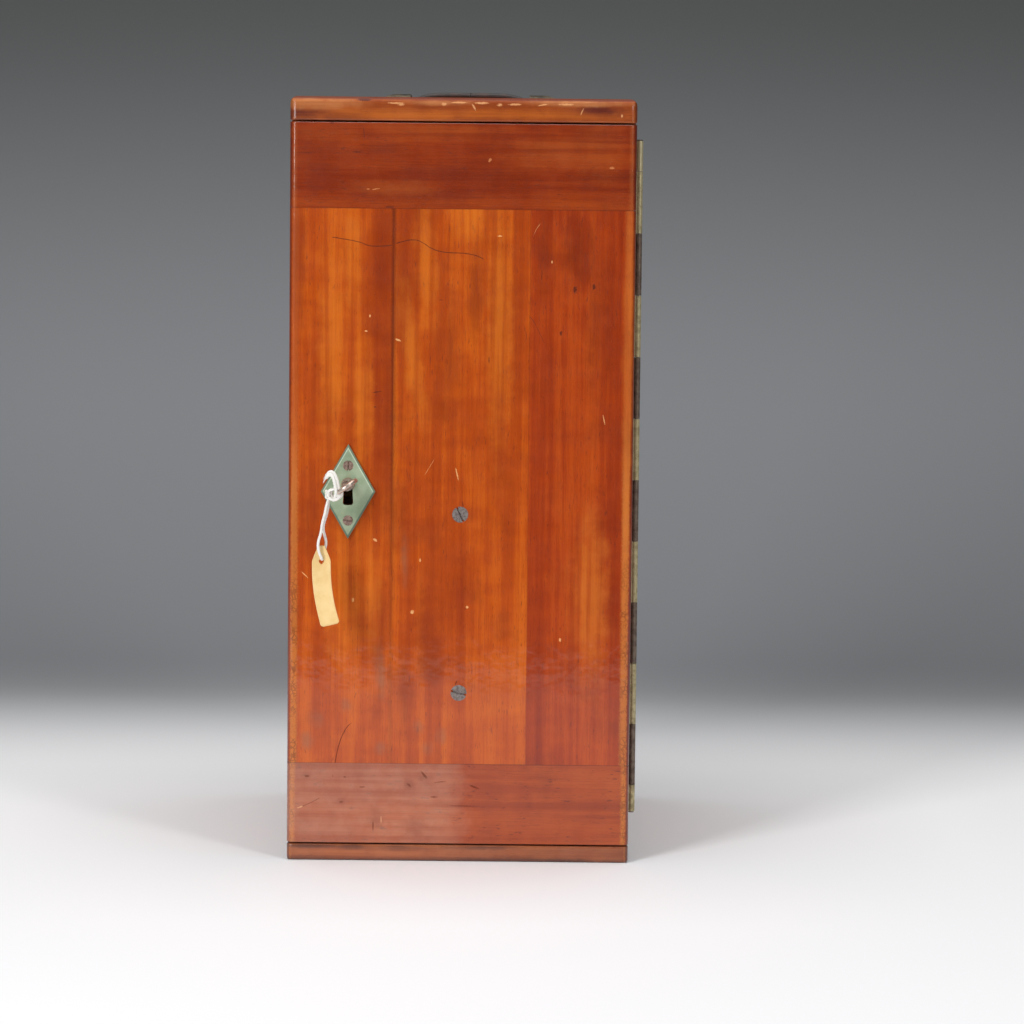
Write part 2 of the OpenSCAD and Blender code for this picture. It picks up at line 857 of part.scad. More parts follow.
module strike_plate() {
    color(brass_colour)
        difference() {
            strike_plate_blank();
            box([-inner_x - strike_t - cut, bolt_y0 - strike_window_gap, bolt_z0 - strike_window_gap],
                [-inner_x + cut, bolt_y0 + bolt_t + strike_window_gap, bolt_z1 + strike_window_gap]);
            strike_screw_set(true);
        }
}

module strike_screws() {
    color(steel_colour)
        strike_screw_set(false);
}

// Hollow key whose bit stands up to the right, in line with its ring
module key() {
    color("#c9c2b2")
        difference() {
            translate([key_x, 0, key_z])
                rotate([0, -bit_rest_angle, 0]) {
                    rod_y(0, bow_y + bow_r, 0, key_tip_y - bow_y - bow_r, key_barrel_r);
                    rod_y(0, front_y - escutcheon_t - 2.4, 0, 2, key_barrel_r + 0.9);
                    rod_y(0, bow_y + bow_r + 1.2, 0, 1.6, key_barrel_r + 0.6);
                    difference() {
                        box([0, bit_y0, -bit_t / 2], [bit_r, bit_y0 + bit_len, bit_t / 2]);
                        box([bit_r - 2, bit_y0 + bit_len - 1.9, -bit_t],
                            [bit_r + cut, bit_y0 + bit_len - 1.1, bit_t]);
                    }
                    translate([0, bow_y, 0])
                        rotate_extrude()
                            translate([bow_r, 0])
                                circle(bow_wire_r, $fn = 32);
                }
            rod_y(key_x, front_y + 4, key_z, key_tip_y - front_y, post_r + running_gap + 0.02);
        }
}

// Tapered brass cap over one end of the strap
module handle_cap(side) {
    mirror([side > 0 ? 0 : 1, 0, 0])
        difference() {
            translate([side * handle_x, 0, 0])
                difference() {
                    intersection() {
                        translate([handle_len / 2 - cap_len, 0, case_h])
                            linear_extrude(cap_h)
                                cap_plan();
                        translate([0, -cap_w, case_h])
                            extrude_y(2 * cap_w)
                                cap_profile();
                        rotate([0, 0, 90])
                            translate([0, -handle_len, case_h])
                                extrude_y(2 * handle_len)
                                    round_rect(cap_w, cap_h, 0.4, cap_h - 2.2);
                    }
                    box([handle_len / 2 - cap_len - cut, -strap_w / 2 - cap_slot_gap, case_h - cut],
                        [handle_len / 2 - cap_len + cap_slot_depth, strap_w / 2 + cap_slot_gap,
                            strap_z0 + strap_t + cap_slot_gap]);
                }
            mirror([side > 0 ? 0 : 1, 0, 0])
                cap_screws_at(side, true);
        }
}

// Plan of a cap, square towards the strap and round at its outer end
module cap_plan() {
    round_end = 6;
    translate([0, -cap_w / 2])
        square([cap_len - round_end, cap_w]);
    translate([0, -cap_w / 2 + round_end])
        square([cap_len, cap_w - 2 * round_end]);
    for (edge = [-1, 1])
        translate([cap_len - round_end, edge * (cap_w / 2 - round_end)])
            circle(round_end);
}

// Side view of a cap, which falls away to its outer end
module cap_profile() {
    fall_r = cap_len;
    translate([handle_len / 2 - cap_len, 0])
        square([cap_len - 9, cap_h]);
    intersection() {
        translate([handle_len / 2 - 9, cap_h - fall_r])
            circle(fall_r);
        translate([handle_len / 2 - 9.5, 0])
            square([9.5, cap_h]);
    }
}

// Two screws through the outer end of one cap into the top
module cap_screws_at(side, blank) {
    for (edge = [-1, 1])
        translate([handle_x + side * (handle_len / 2 - 4), edge * 5.6, case_h + 3.6])
            rotate([-90, 20 * edge, 0])
                wood_screw(cap_head_r, leaf_shank_r, cap_screw_len, blank);
}

module handle_cap_left() {
    color(aged_brass_colour)
        handle_cap(-1);
}

module handle_cap_right() {
    color(aged_brass_colour)
        handle_cap(1);
}

module handle_cap_screws() {
    color(aged_brass_colour)
        for (side = [-1, 1])
            cap_screws_at(side, false);
}

// Leather strap that lies flat in the caps and arches between them
module handle_strap() {
    rise = strap_rise - strap_t - seat_gap;
    arch_r = (strap_flat_x * strap_flat_x + rise * rise) / (2 * rise);
    arch_z = strap_z0 + rise - arch_r;
    color("#2c2522")
        translate([handle_x, -strap_w / 2, 0]) {
            for (side = [-1, 1])
                translate([side > 0 ? strap_flat_x : -strap_end_x, 0, strap_z0])
                    cube([strap_end_x - strap_flat_x, strap_w, strap_t]);
            intersection() {
                difference() {
                    rod_y(0, 0, arch_z, strap_w, arch_r + strap_t);
                    rod_y(0, -cut, arch_z, strap_w + 2 * cut, arch_r);
                }
                box([-strap_flat_x, 0, strap_z0], [strap_flat_x, strap_w, strap_z0 + rise + strap_t]);
            }
        }
}

// Upright batten on the inside of the door, notched for the two shelves
module rack_batten() {
    color(inner_wood_colour)
        difference() {
            translate([0, door_back_y, 0])
                extrude_y(batten_t)
                    translate([0, batten_z0])
                        round_rect(batten_w, batten_z1 - batten_z0, 4, 4);
            for (z = [eyepiece_shelf_z, objective_shelf_z])
                box([-batten_w, batten_y1 - shelf_lap, z], [batten_w, batten_y1 + cut, z + shelf_t]);
            rack_screw_set(true);
        }
}

// The two long screws from the front of the door into the batten
module rack_screw_set(blank) {
    for (place = [[upper_screw_z, 65], [lower_screw_z, 15]])
        translate([0, front_y, place[0]])
            rotate([0, place[1], 0])
                wood_screw(rack_screw_head_r, rack_shank_r, door_t + batten_t - shelf_lap - 1, blank);
}

module rack_screws() {
    color(steel_colour)
        rack_screw_set(false);
}

// Shelf with two holes and rounded front corners, let into the batten
module shelf(z, hole_r) {
    color(inner_wood_colour)
        difference() {
            union() {
                translate([0, batten_y1, z])
                    linear_extrude(shelf_t)
                        round_rect(shelf_w, shelf_d, small_edge_r, shelf_corner_r);
                box([-batten_w / 2, batten_y1 - shelf_lap, z], [batten_w / 2, batten_y1 + 2, z + shelf_t]);
            }
            for (side = [-1, 1])
                translate([side * hole_spacing / 2, hole_y, z - cut])
                    cylinder(h = shelf_t + 2 * cut, r = hole_r);
        }
}

module eyepiece_shelf() {
    shelf(eyepiece_shelf_z, eyepiece_hole_r);
}

module objective_shelf() {
    shelf(objective_shelf_z, objective_hole_r);
}

// Turns of string round the ring of the key, with the knot at their left
module string_knot() {
    color("#e9e4d8")
        translate([knot_x, bow_y, knot_z]) {
            rotate([90, 0, 0])
                rotate_extrude()
                    translate([wrap_r - string_r, -wrap_len / 2])
                        square([2 * string_r, wrap_len]);
            translate([-wrap_r - 0.9, 0, -1.2])
                rotate([90, 0, 0])
                    cylinder(h = knot_len, r = knot_r, center = true);
        }
}

// Ring of points round one place of a route, square to its run
function route_run(route, i) =
    let (a = route[max(i - 1, 0)], b = route[min(i + 1, len(route) - 1)]) (b - a) / norm(b - a);
function ring(route, i, r, sides) =
    let (
        run = route_run(route, i),
        across = cross([1, 0, 0], run) / norm(cross([1, 0, 0], run)),
        over = cross(run, across)
    )
    [for (k = [0 : sides - 1])
        route[i] + r * (cos(360 * k / sides) * across + sin(360 * k / sides) * over)];

// Closed tube swept along a route
module tube(route, r, sides) {
    last = len(route) - 1;
    points = [for (i = [0 : last], p = ring(route, i, r, sides)) p];
    walls = [
        for (i = [0 : last - 1], k = [0 : sides - 1], half = [0, 1])
            let (a = i * sides + k, b = i * sides + (k + 1) % sides)
            half == 0 ? [a, a + sides, b] : [b, a + sides, b + sides]
    ];
    start = [for (k = [1 : sides - 2]) [0, k, k + 1]];
    end = [for (k = [1 : sides - 2]) [last * sides, last * sides + k + 1, last * sides + k]];
    polyhedron(points, concat(walls, start, end));
}

module tag_string() {
    color("#e9e4d8")
        translate([knot_x, bow_y, knot_z])
            tube(STRING_ROUTE, string_r, string_sides);
}

// Paper tag with clipped shoulders, hung by its hole in the bight of the string
module tag() {
    color("#eecf91")
        translate([knot_x, bow_y, knot_z] + tag_hole)
            rotate([0, -tag_lean, 0])
                translate([0, -tag_t / 2, 0])
                    extrude_y(tag_t)
                        difference() {
                            polygon([
                                [-tag_w / 2 + tag_shoulder_w, tag_hole_drop],
                                [tag_w / 2 - tag_shoulder_w, tag_hole_drop],
                                [tag_w / 2, tag_hole_drop - tag_shoulder_h],
                                [tag_w / 2, tag_hole_drop - tag_len],
                                [-tag_w / 2, tag_hole_drop - tag_len],
                                [-tag_w / 2, tag_hole_drop - tag_shoulder_h]
                            ]);
                            circle(tag_hole_r);
                        }
}

base_board();
top_board();
left_side();
right_side();
back_panel();
back_screws();
foot_rail_left();
foot_rail_right();
foot_stop();
case_hinge_leaf();
hinge_pin();
case_hinge_screws();
strike_plate();
strike_screws();
handle_cap_left();
handle_cap_right();
handle_cap_screws();
handle_strap();
door_board_left();
door_board_middle();
door_board_right();
door_top_clamp();
door_bottom_clamp();
door_hinge_leaf();
door_hinge_screws();
escutcheon();
escutcheon_screws();
lock_case();
lock_cap();
lock_spring();
lock_screws();
key_post();
lock_bolt();
key();
rack_batten();
rack_screws();
eyepiece_shelf();
objective_shelf();
string_knot();
tag_string();
tag();
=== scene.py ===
"""Looks of the upright wooden instrument case: finishes, string, tag, strap, light and camera.

Lengths are in metres in the CAD frame: origin under the middle of the base, the door towards -Y,
the hinge towards +X, +Z up. MM turns millimetres into metres.
"""

import math

import bmesh
import bpy
import numpy as np
from mathutils import Matrix, Vector


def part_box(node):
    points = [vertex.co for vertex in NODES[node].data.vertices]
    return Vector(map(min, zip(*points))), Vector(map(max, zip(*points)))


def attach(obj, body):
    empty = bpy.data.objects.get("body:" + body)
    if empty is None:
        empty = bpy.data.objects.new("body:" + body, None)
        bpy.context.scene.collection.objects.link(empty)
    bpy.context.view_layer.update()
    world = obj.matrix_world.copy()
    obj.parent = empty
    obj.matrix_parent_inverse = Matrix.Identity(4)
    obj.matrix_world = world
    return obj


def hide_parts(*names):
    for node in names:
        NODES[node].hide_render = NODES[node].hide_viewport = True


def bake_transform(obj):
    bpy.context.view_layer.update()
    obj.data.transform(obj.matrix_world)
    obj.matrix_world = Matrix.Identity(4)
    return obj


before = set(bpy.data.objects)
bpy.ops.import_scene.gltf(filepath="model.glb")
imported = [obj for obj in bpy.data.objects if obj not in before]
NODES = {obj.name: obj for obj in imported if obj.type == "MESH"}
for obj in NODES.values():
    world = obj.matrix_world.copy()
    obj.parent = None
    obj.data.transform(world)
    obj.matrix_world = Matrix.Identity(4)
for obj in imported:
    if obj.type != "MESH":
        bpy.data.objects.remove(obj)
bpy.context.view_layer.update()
SCENE = bpy.context.scene
MM = 0.001

# Camera, as the photograph's lines give it
PHOTO_SIZE = 1024
FOCAL_PX = 3070
SENSOR_MM = 36
CAMERA_AT = Vector((24.8, -1566.2, 275.9)) * MM
NEAR, FAR = 0.05, 20
PITCH_DOWN = math.radians(4.15)
ROLL = math.radians(0.59)

# Places on the case, from the CAD nodes, and the sizes of the bow
FRONT_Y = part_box("door_board_left")[0].y
POST_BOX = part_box("key_post")
KEY_X = (POST_BOX[0].x + POST_BOX[1].x) / 2
KEY_Z = (POST_BOX[0].z + POST_BOX[1].z) / 2
TOP_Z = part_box("top_board")[1].z
BOW_REACH = 20 * MM
BOW_R = 5.4 * MM
BIT_ANGLE = math.radians(35)
KNOT_AT = Vector((KEY_X - BOW_R * math.cos(BIT_ANGLE), FRONT_Y - BOW_REACH,
                  KEY_Z - BOW_R * math.sin(BIT_ANGLE)))
STRING_R = 0.7 * MM


# Camera and its pixel rays

def camera_axes():
    """Right, up and forward of the camera."""
    forward = Vector((0, math.cos(PITCH_DOWN), -math.sin(PITCH_DOWN)))
    level = Vector((1, 0, 0))
    up = level.cross(forward)
    right = level * math.cos(ROLL) + up * math.sin(ROLL)
    return right, up * math.cos(ROLL) - level * math.sin(ROLL), forward


def make_camera():
    data = bpy.data.cameras.new("camera")
    data.sensor_width = SENSOR_MM
    data.lens = FOCAL_PX / PHOTO_SIZE * SENSOR_MM
    data.clip_start, data.clip_end = NEAR, FAR
    camera = bpy.data.objects.new("camera", data)
    SCENE.collection.objects.link(camera)
    right, up, forward = camera_axes()
    turn = Matrix((right, up, -forward)).transposed().to_4x4()
    camera.matrix_world = Matrix.Translation(CAMERA_AT) @ turn
    SCENE.camera = camera


def on_front(x, y):
    """Point of the door's front that the photograph shows at a pixel."""
    right, up, forward = camera_axes()
    half = PHOTO_SIZE / 2
    ray = forward * FOCAL_PX + right * (x - half) - up * (y - half)
    return CAMERA_AT + ray * ((FRONT_Y - CAMERA_AT.y) / ray.y)


# Meshes

def mesh_object(name, points, faces, smooth=True):
    mesh = bpy.data.meshes.new(name)
    mesh.from_pydata([tuple(p) for p in points], [], faces)
    mesh.validate()
    mesh.update()
    made = bpy.data.objects.new(name, mesh)
    SCENE.collection.objects.link(made)
    if smooth:
        mesh.polygons.foreach_set("use_smooth", [True] * len(mesh.polygons))
    return made


def catmull(points, steps):
    """Smooth curve through points, with that many steps between two of them."""
    p = [np.array(q, float) for q in points]
    p = [2 * p[0] - p[1]] + p + [2 * p[-1] - p[-2]]
    out = []
    for i in range(1, len(p) - 2):
        a, b, c, d = p[i - 1 : i + 3]
        for k in range(steps):
            t = k / steps
            out.append(0.5 * (2 * b + (c - a) * t + (2 * a - 5 * b + 4 * c - d) * t**2
                              + (3 * b - a - 3 * c + d) * t**3))
    out.append(p[-2])
    return np.array(out)


def path_frames(path):
    """Two directions square to the path at each of its points, with no twist."""
    run = np.gradient(path, axis=0)
    run /= np.linalg.norm(run, axis=1)[:, None]
    side = np.cross(run[0], [0.31, 0.17, 0.93])
    side /= np.linalg.norm(side)
    sides = []
    for r in run:
        side = side - r * (side @ r)
        side /= np.linalg.norm(side)
        sides.append(side)
    sides = np.array(sides)
    return sides, np.cross(run, sides)


def rope_mesh(name, path, radius, plies=3, lay=4.2 * MM, depth=0.17, sides=18, closed=False, taper=0.0):
    """Twisted cord: its section has a lobe for each ply, which turns as the path runs."""
    side, over = path_frames(path)
    step = np.concatenate([[0], np.cumsum(np.linalg.norm(np.diff(path, axis=0), axis=1))])
    points, faces = [], []
    for i, p in enumerate(path):
        end = min(i, len(path) - 1 - i)
        thin = 1 - taper * max(0.0, 1 - end / 4)
        for k in range(sides):
            a = 2 * math.pi * k / sides
            lobe = abs(math.cos(plies * (a - 2 * math.pi * step[i] / lay) / 2))
            r = radius * thin * (1 - depth + depth * lobe)
            points.append(p + r * (math.cos(a) * side[i] + math.sin(a) * over[i]))
    rings = len(path)
    for i in range(rings if closed else rings - 1):
        for k in range(sides):
            a, b = i * sides + k, i * sides + (k + 1) % sides
            c, d = (i + 1) % rings * sides + (k + 1) % sides, (i + 1) % rings * sides + k
            faces.append((a, b, c, d))
    if not closed:
        faces.append(tuple(range(sides))[::-1])
        faces.append(tuple((rings - 1) * sides + k for k in range(sides)))
    return mesh_object(name, points, faces)


# Materials, with places in millimetres; a pair is where a mask begins and ends

EASED_R = 1.1 * MM
LINE_END = 1.2
WORN_TO, RIM_SHADE = (80.6, 81.4), (80.9, 81.7)
WORN_LOW, CRACKED_LOW, SEAM_FADE = (225.0, 170.0), (165.0, 120.0), (90.0, 230.0)
INSIDE_X, INSIDE_BACK, INSIDE_FRONT = (72.05, 72.35), (92.05, 92.35), (-89.4, -89.1)
INSIDE_FLOOR, INSIDE_TOP = (7.7, 7.95), (355.05, 355.3)
TOP_FRONT = (-97.5, -96.0)
KEYHOLE_X, KEYHOLE_Z, KEYHOLE_Y = (4.6, 5.2), (8.5, 9.2), (-84.0, -83.6)


class Graph:
    """Short way to write a material's nodes; place, x, y and z are the object's own millimetres."""

    def __init__(self, name):
        self.material = bpy.data.materials.new(name)
        self.material.use_nodes = True
        self.tree = self.material.node_tree
        self.tree.nodes.clear()
        self.out = self.tree.nodes.new("ShaderNodeOutputMaterial")
        point = self.tree.nodes.new("ShaderNodeTexCoord").outputs["Object"]
        self.place = self.node("ShaderNodeVectorMath", {0: point, "Scale": 1 / MM}, operation="SCALE").outputs[0]
        self.x, self.y, self.z = self.node("ShaderNodeSeparateXYZ", {0: self.place}).outputs

    def node(self, kind, inputs=None, **settings):
        """New node; each input is either a socket to link or a plain value."""
        made = self.tree.nodes.new(kind)
        for key, value in settings.items():
            setattr(made, key, value)
        for key, value in (inputs or {}).items():
            if isinstance(value, bpy.types.NodeSocket):
                self.tree.links.new(value, made.inputs[key])
            else:
                made.inputs[key].default_value = value
        return made

    def math(self, operation, a, b=0.0):
        return self.node("ShaderNodeMath", {0: a, 1: b}, operation=operation).outputs[0]

    def add(self, a, b):
        return self.math("ADD", a, b)

    def sub(self, a, b):
        return self.math("SUBTRACT", a, b)

    def size(self, a):
        return self.math("ABSOLUTE", a)

    def mul(self, first, *others):
        """Product of the values."""
        for value in others:
            first = self.math("MULTIPLY", first, value)
        return first

    def most(self, first, *others):
        """Largest of the values."""
        for value in others:
            first = self.math("MAXIMUM", first, value)
        return first

    def weigh(self, first, *others):
        """Sum of values, each times its share."""
        out = self.mul(*first)
        for term in others:
            out = self.add(out, self.mul(*term))
        return out

    def ramp(self, value, low, high, out_low=0.0, out_high=1.0, smooth=True):
        kind = "SMOOTHSTEP" if smooth else "LINEAR"
        return self.node("ShaderNodeMapRange", {0: value, 1: low, 2: high, 3: out_low, 4: out_high},
                         interpolation_type=kind).outputs[0]

    def fall(self, value, low, high):
        """1 below low, 0 above high."""
        return self.ramp(value, low, high, 1.0, 0.0)

    def mix(self, share, a, b):
        return self.node("ShaderNodeMix", {0: share, 6: a, 7: b}, data_type="RGBA").outputs[2]

    def noise(self, vector, scale, detail=3.0, roughness=0.55, distortion=0.0):
        inputs = {"Vector": vector, "Scale": scale, "Detail": detail, "Roughness": roughness,
                  "Distortion": distortion}
        return self.node("ShaderNodeTexNoise", inputs).outputs[0]

    def cells(self, scale):
        """Distance to the nearest edge between irregular cells."""
        return self.node("ShaderNodeTexVoronoi", {"Vector": self.place, "Scale": scale},
                         feature="DISTANCE_TO_EDGE").outputs[0]

    def stretched(self, along, across, run):
        """Place with the axis called along scaled by run and the others by across."""
        scales = [across, across, across]
        scales["xyz".index(along)] = run
        parts = [self.mul(s, k) for s, k in zip((self.x, self.y, self.z), scales)]
        return self.node("ShaderNodeCombineXYZ", dict(enumerate(parts))).outputs[0]

    def grain(self, along, across, run, shift, detail, roughness=0.55, bend=0.0):
        """Noise drawn out along an axis; shift sets one board apart from the next."""
        inputs = {0: self.stretched(along, across, run), 1: shift}
        place = self.node("ShaderNodeVectorMath", inputs, operation="ADD").outputs[0]
        return self.noise(place, 1.0, detail, roughness, bend)

    def bump(self, height, distance, strength=1.0, normal=None):
        inputs = {"Height": height, "Distance": distance, "Strength": strength}
        if normal is not None:
            inputs["Normal"] = normal
        return self.node("ShaderNodeBump", inputs).outputs[0]

    def surface(self, **inputs):
        """Links the shader, with spaces for the underscores in its inputs' names; gives the material."""
        shader = self.node("ShaderNodeBsdfPrincipled", {k.replace("_", " "): v for k, v in inputs.items()})
        self.tree.links.new(shader.outputs[0], self.out.inputs[0])
        return self.material


def rgb(r, g, b):
    """Colour written as 8-bit display values."""
    def linear(c):
        c = c / 255
        return c / 12.92 if c <= 0.04045 else ((c + 0.055) / 1.055) ** 2.4
    return (linear(r), linear(g), linear(b), 1.0)


def px(x, y):
    """X and Z in millimetres of the place on the door that a pixel shows."""
    at = on_front(x, y)
    return at.x / MM, at.z / MM


class Marks:
    """Masks for single marks on a board; each is 1 on its mark and 0 beside it.

    Marks are placed by the photograph's pixels, and their sizes are in millimetres.
    """

    def __init__(self, g, grain):
        self.g = g
        self.grain = grain
        self.rough = self.waver(0.9, 0.7)
        self.wander = self.waver(0.11, 0.6)
        self.ragged = self.waver(1.7, 0.8)

    def waver(self, scale, roughness):
        """Noise about zero."""
        return self.g.sub(self.g.noise(self.g.place, scale, 3.0, roughness), 0.5)

    def line(self, points, width, upright=False):
        """Line through pixels that follow X, or Z where it is upright."""
        g = self.g
        spots = sorted((px(*p)[::-1] if upright else px(*p)) for p in points)
        low, high = spots[0][0], spots[-1][0]
        values = [v for _, v in spots]
        base, span = min(values) - 1, max(values) - min(values) + 2
        run, cross = (g.z, g.x) if upright else (g.x, g.z)
        curve = g.tree.nodes.new("ShaderNodeFloatCurve")
        line = curve.mapping.curves[0]
        while len(line.points) < len(spots):
            line.points.new(0.5, 0.5)
        for point, (u, v) in zip(line.points, spots):
            point.location = ((u - low) / (high - low), (v - base) / span)
        curve.mapping.update()
        g.tree.links.new(g.ramp(run, low, high, smooth=False), curve.inputs["Value"])
        place = g.add(g.mul(curve.outputs[0], span), base)
        off = g.add(g.size(g.sub(cross, place)), g.mul(self.rough, width * 1.4))
        ends = g.mul(g.ramp(run, low, low + LINE_END), g.fall(run, high - LINE_END, high))
        return g.mul(g.fall(off, width * 0.35, width), ends)

    def oval(self, x, y, half_w, half_h, lean):
        """Square of the distance from a pixel, counted in half sizes."""
        g = self.g
        middle_x, middle_z = px(x, y)
        c, s = math.cos(math.radians(lean)), math.sin(math.radians(lean))
        dx, dz = g.sub(g.x, middle_x), g.sub(g.z, middle_z)
        u = g.add(g.mul(dx, c / half_w), g.mul(dz, s / half_w))
        v = g.sub(g.mul(dz, c / half_h), g.mul(dx, s / half_h))
        return g.add(g.mul(u, u), g.mul(v, v))

    def spot(self, x, y, half_w, half_h, lean=0.0):
        """Ragged chip or dent round a pixel."""
        g = self.g
        edge = g.mul(g.add(self.rough, self.ragged), 2.6)
        return g.fall(g.add(self.oval(x, y, half_w, half_h, lean), edge), 0.3, 1.2)

    def patch(self, x, y, half_w, half_h, lean=0.0):
        """Soft cloud round a pixel that the grain breaks up."""
        g = self.g
        away = g.math("SQRT", self.oval(x, y, half_w, half_h, lean))
        away = g.add(away, g.mul(self.wander, 1.8))
        return g.mul(g.fall(away, 0.1, 1.5), g.ramp(self.grain, 0.36, 0.6, 0.45, 1.0))

    def left_of(self, x, y, soft):
        """All of the board to the left of a pixel."""
        g = self.g
        edge = g.add(g.x, g.mul(self.wander, 24.0))
        side = g.fall(edge, px(x, y)[0] - soft, px(x, y)[0] + soft)
        cloud = g.ramp(self.wander, -0.16, 0.16, 0.7, 1.0)
        return g.mul(side, cloud, g.ramp(self.grain, 0.3, 0.66, 0.6, 1.0))


class Board:
    """Varnished board whose grain runs along one axis, with wear laid over it step by step.

    body is its colour, height the relief that the bump shows, dull where the varnish is gone.
    """

    def __init__(self, name, along, seed, dark, middle, light):
        g = self.g = Graph(name)
        self.along = along
        self.shift = (seed * 17.3, seed * 5.1, seed * 9.7)
        ribbon = self.grain(0.075, 0.0045, 2.0, 0.4, 0.25)
        streak = self.grain(0.34, 0.009, 3.0, 0.5, 0.1)
        blotch = self.grain(0.03, 0.014, 3.0, 0.55, 0.3)
        figure = self.grain(0.05, 0.11, 2.0, 0.5, 0.2)
        fine = self.grain(1.7, 0.05, 3.0, 0.6)
        fleck = g.ramp(self.grain(2.4, 0.5, 2.0, 0.5), 0.64, 0.76)
        knock = g.ramp(g.noise(g.place, 0.5, 3.0, 0.8), 0.68, 0.73)
        grime = g.ramp(g.noise(g.place, 0.04, 4.0, 0.62), 0.5, 0.74)
        self.pore = g.ramp(self.grain(3.4, 0.26, 1.0, 0.4), 0.62, 0.74)
        self.tone = g.weigh((ribbon, 0.4), (streak, 0.26), (blotch, 0.2), (figure, 0.14))
        self.body = g.mix(g.ramp(self.tone, 0.34, 0.52, smooth=False), dark, middle)
        self.lay(light, g.ramp(self.tone, 0.48, 0.68, smooth=False))
        self.lay(dark, g.ramp(fine, 0.44, 0.76, 0.0, 0.4))
        self.lay(rgb(84, 30, 10), self.pore, 0.3)
        self.lay(light, fleck, 0.3)
        self.lay(rgb(112, 40, 14), grime, 0.28)
        self.lay(rgb(92, 34, 14), knock, 0.3)
        self.height = g.sub(g.mul(fine, 0.35), g.mul(self.pore, 0.8))
        self.dull = knock
        self.marks = Marks(g, streak)
        self.on_face = g.fall(g.y, FRONT_Y / MM + 2.6, FRONT_Y / MM + 3.4)

    def grain(self, across, run, detail, roughness, bend=0.0):
        return self.g.grain(self.along, across, run, self.shift, detail, roughness, bend)

    def lay(self, colour, *shares):
        """Lays a colour over the board, as strong as the product of its shares."""
        self.body = self.g.mix(self.g.mul(*shares), self.body, colour)

    def sink(self, *depths):
        """Lowers the relief by the product of the depths."""
        self.height = self.g.sub(self.height, self.g.mul(*depths))

    def rub(self, mask):
        """Takes the varnish off under a mask."""
        self.dull = self.g.most(self.dull, mask)

    def add_haze(self, haze):
        """Pale bloom on the front."""
        g = self.g
        bloom = g.ramp(g.noise(g.place, 0.035, 4.0, 0.6), 0.32, 0.66, 0.25 * haze, haze)
        self.lay(rgb(196, 142, 116), bloom, self.on_face)

    def add_dents(self, depth):
        """Short dents along the grain, in clusters."""
        g = self.g
        dent = g.ramp(self.grain(1.1, 0.22, 2.0, 0.6), 0.62, 0.7)
        dent = g.mul(dent, g.ramp(self.marks.wander, -0.06, 0.08))
        self.lay(rgb(96, 40, 24), dent, self.on_face, depth)
        self.sink(dent, depth)

    def wear_edges(self, start):
        """Rubs the strip from |X| = start to the rim, which painted shade darkens where the arris turns away, and
        crackles the varnish low down in it.
        """
        g = self.g
        across = g.size(g.x)
        wide = g.add(across, g.mul(self.marks.rough, 2.6))
        worn = g.mul(g.ramp(wide, start - 1.2, start + 0.6), g.fall(wide, *WORN_TO), self.on_face)
        self.lay(rgb(206, 126, 58), worn, g.ramp(g.z, *WORN_LOW, 0.25, 1.0), 0.62)
        # Painted shade: the rim darkens where the rounded arris turns away from the light
        self.lay(rgb(78, 30, 20), g.ramp(across, *RIM_SHADE), 0.55)
        low_down = g.mul(worn, g.ramp(g.z, *CRACKED_LOW))
        crack = g.mul(g.fall(g.cells(0.5), 0.03, 0.14), low_down, g.ramp(self.marks.wander, -0.1, 0.06))
        self.lay(rgb(104, 42, 18), crack, 0.55)
        self.sink(crack, 0.8)
        self.rub(g.mul(worn, 0.4))

    def add_seams(self, seams):
        """Dark joints, each at an X or a Z; an upright one fades downwards."""
        g = self.g
        for (axis, at), width, strength in seams:
            off = g.size(g.sub(g.x if axis == "x" else g.z, at))
            off = g.add(off, g.mul(self.marks.rough, width))
            seam = g.mul(g.fall(off, width * 0.1, width), strength)
            if axis == "x":
                seam = g.mul(seam, g.ramp(g.z, *SEAM_FADE, 0.35, 1.0))
            self.lay(rgb(58, 22, 12), seam)
            self.sink(seam)

    def add_marks(self, rows):
        """Each row has a colour, its share, a depth and the masks that it covers."""
        g = self.g
        for colour, share, depth, masks in rows:
            mask = g.mul(g.most(*masks), self.on_face)
            self.lay(colour, mask, share)
            if depth:
                self.sink(mask, depth)
                self.rub(mask)

    def dull_and_shade_top_arris(self):
        """The upper front arris of the top board is rubbed dull and darkened with painted shade."""
        g = self.g
        top, before = TOP_Z / MM, g.fall(g.y, *TOP_FRONT)
        # Painted shade: the dark that the rounded top arris shows is laid into its colour
        self.lay(rgb(88, 28, 12), g.ramp(g.z, top - 1.7, top - 0.9), before, 0.75)
        self.rub(g.mul(g.ramp(g.z, top - 2.6, top - 1.8), before))

    def dry_inside(self):
        """Inside the case the wood is unvarnished, paler and dry. Gives the mask of the inside."""
        g = self.g
        inside = g.mul(g.fall(g.size(g.x), *INSIDE_X), g.fall(g.y, *INSIDE_BACK), g.ramp(g.y, *INSIDE_FRONT),
                       g.ramp(g.z, *INSIDE_FLOOR), g.fall(g.z, *INSIDE_TOP))
        dry = g.mix(g.ramp(self.tone, 0.36, 0.62), rgb(150, 92, 50), rgb(196, 140, 86))
        self.lay(g.mix(g.mul(self.pore, 0.5), dry, rgb(92, 52, 28)), inside)
        return inside

    def eased_normal(self, outer):
        """Normal that rounds the arrises inside |X|, low Z and high Z of outer; a joint stays sharp."""
        g = self.g
        eased = g.node("ShaderNodeBevel", {"Radius": EASED_R}, samples=6).outputs[0]
        if outer is None:
            return eased
        side, low, high = outer
        at_rim = g.most(g.ramp(g.size(g.x), side - 1.4, side - 1.2), g.fall(g.z, low + 1.2, low + 1.4),
                        g.ramp(g.z, high - 1.4, high - 1.2))
        plain = g.tree.nodes.new("ShaderNodeNewGeometry").outputs["Normal"]
        return g.mix(at_rim, plain, eased)

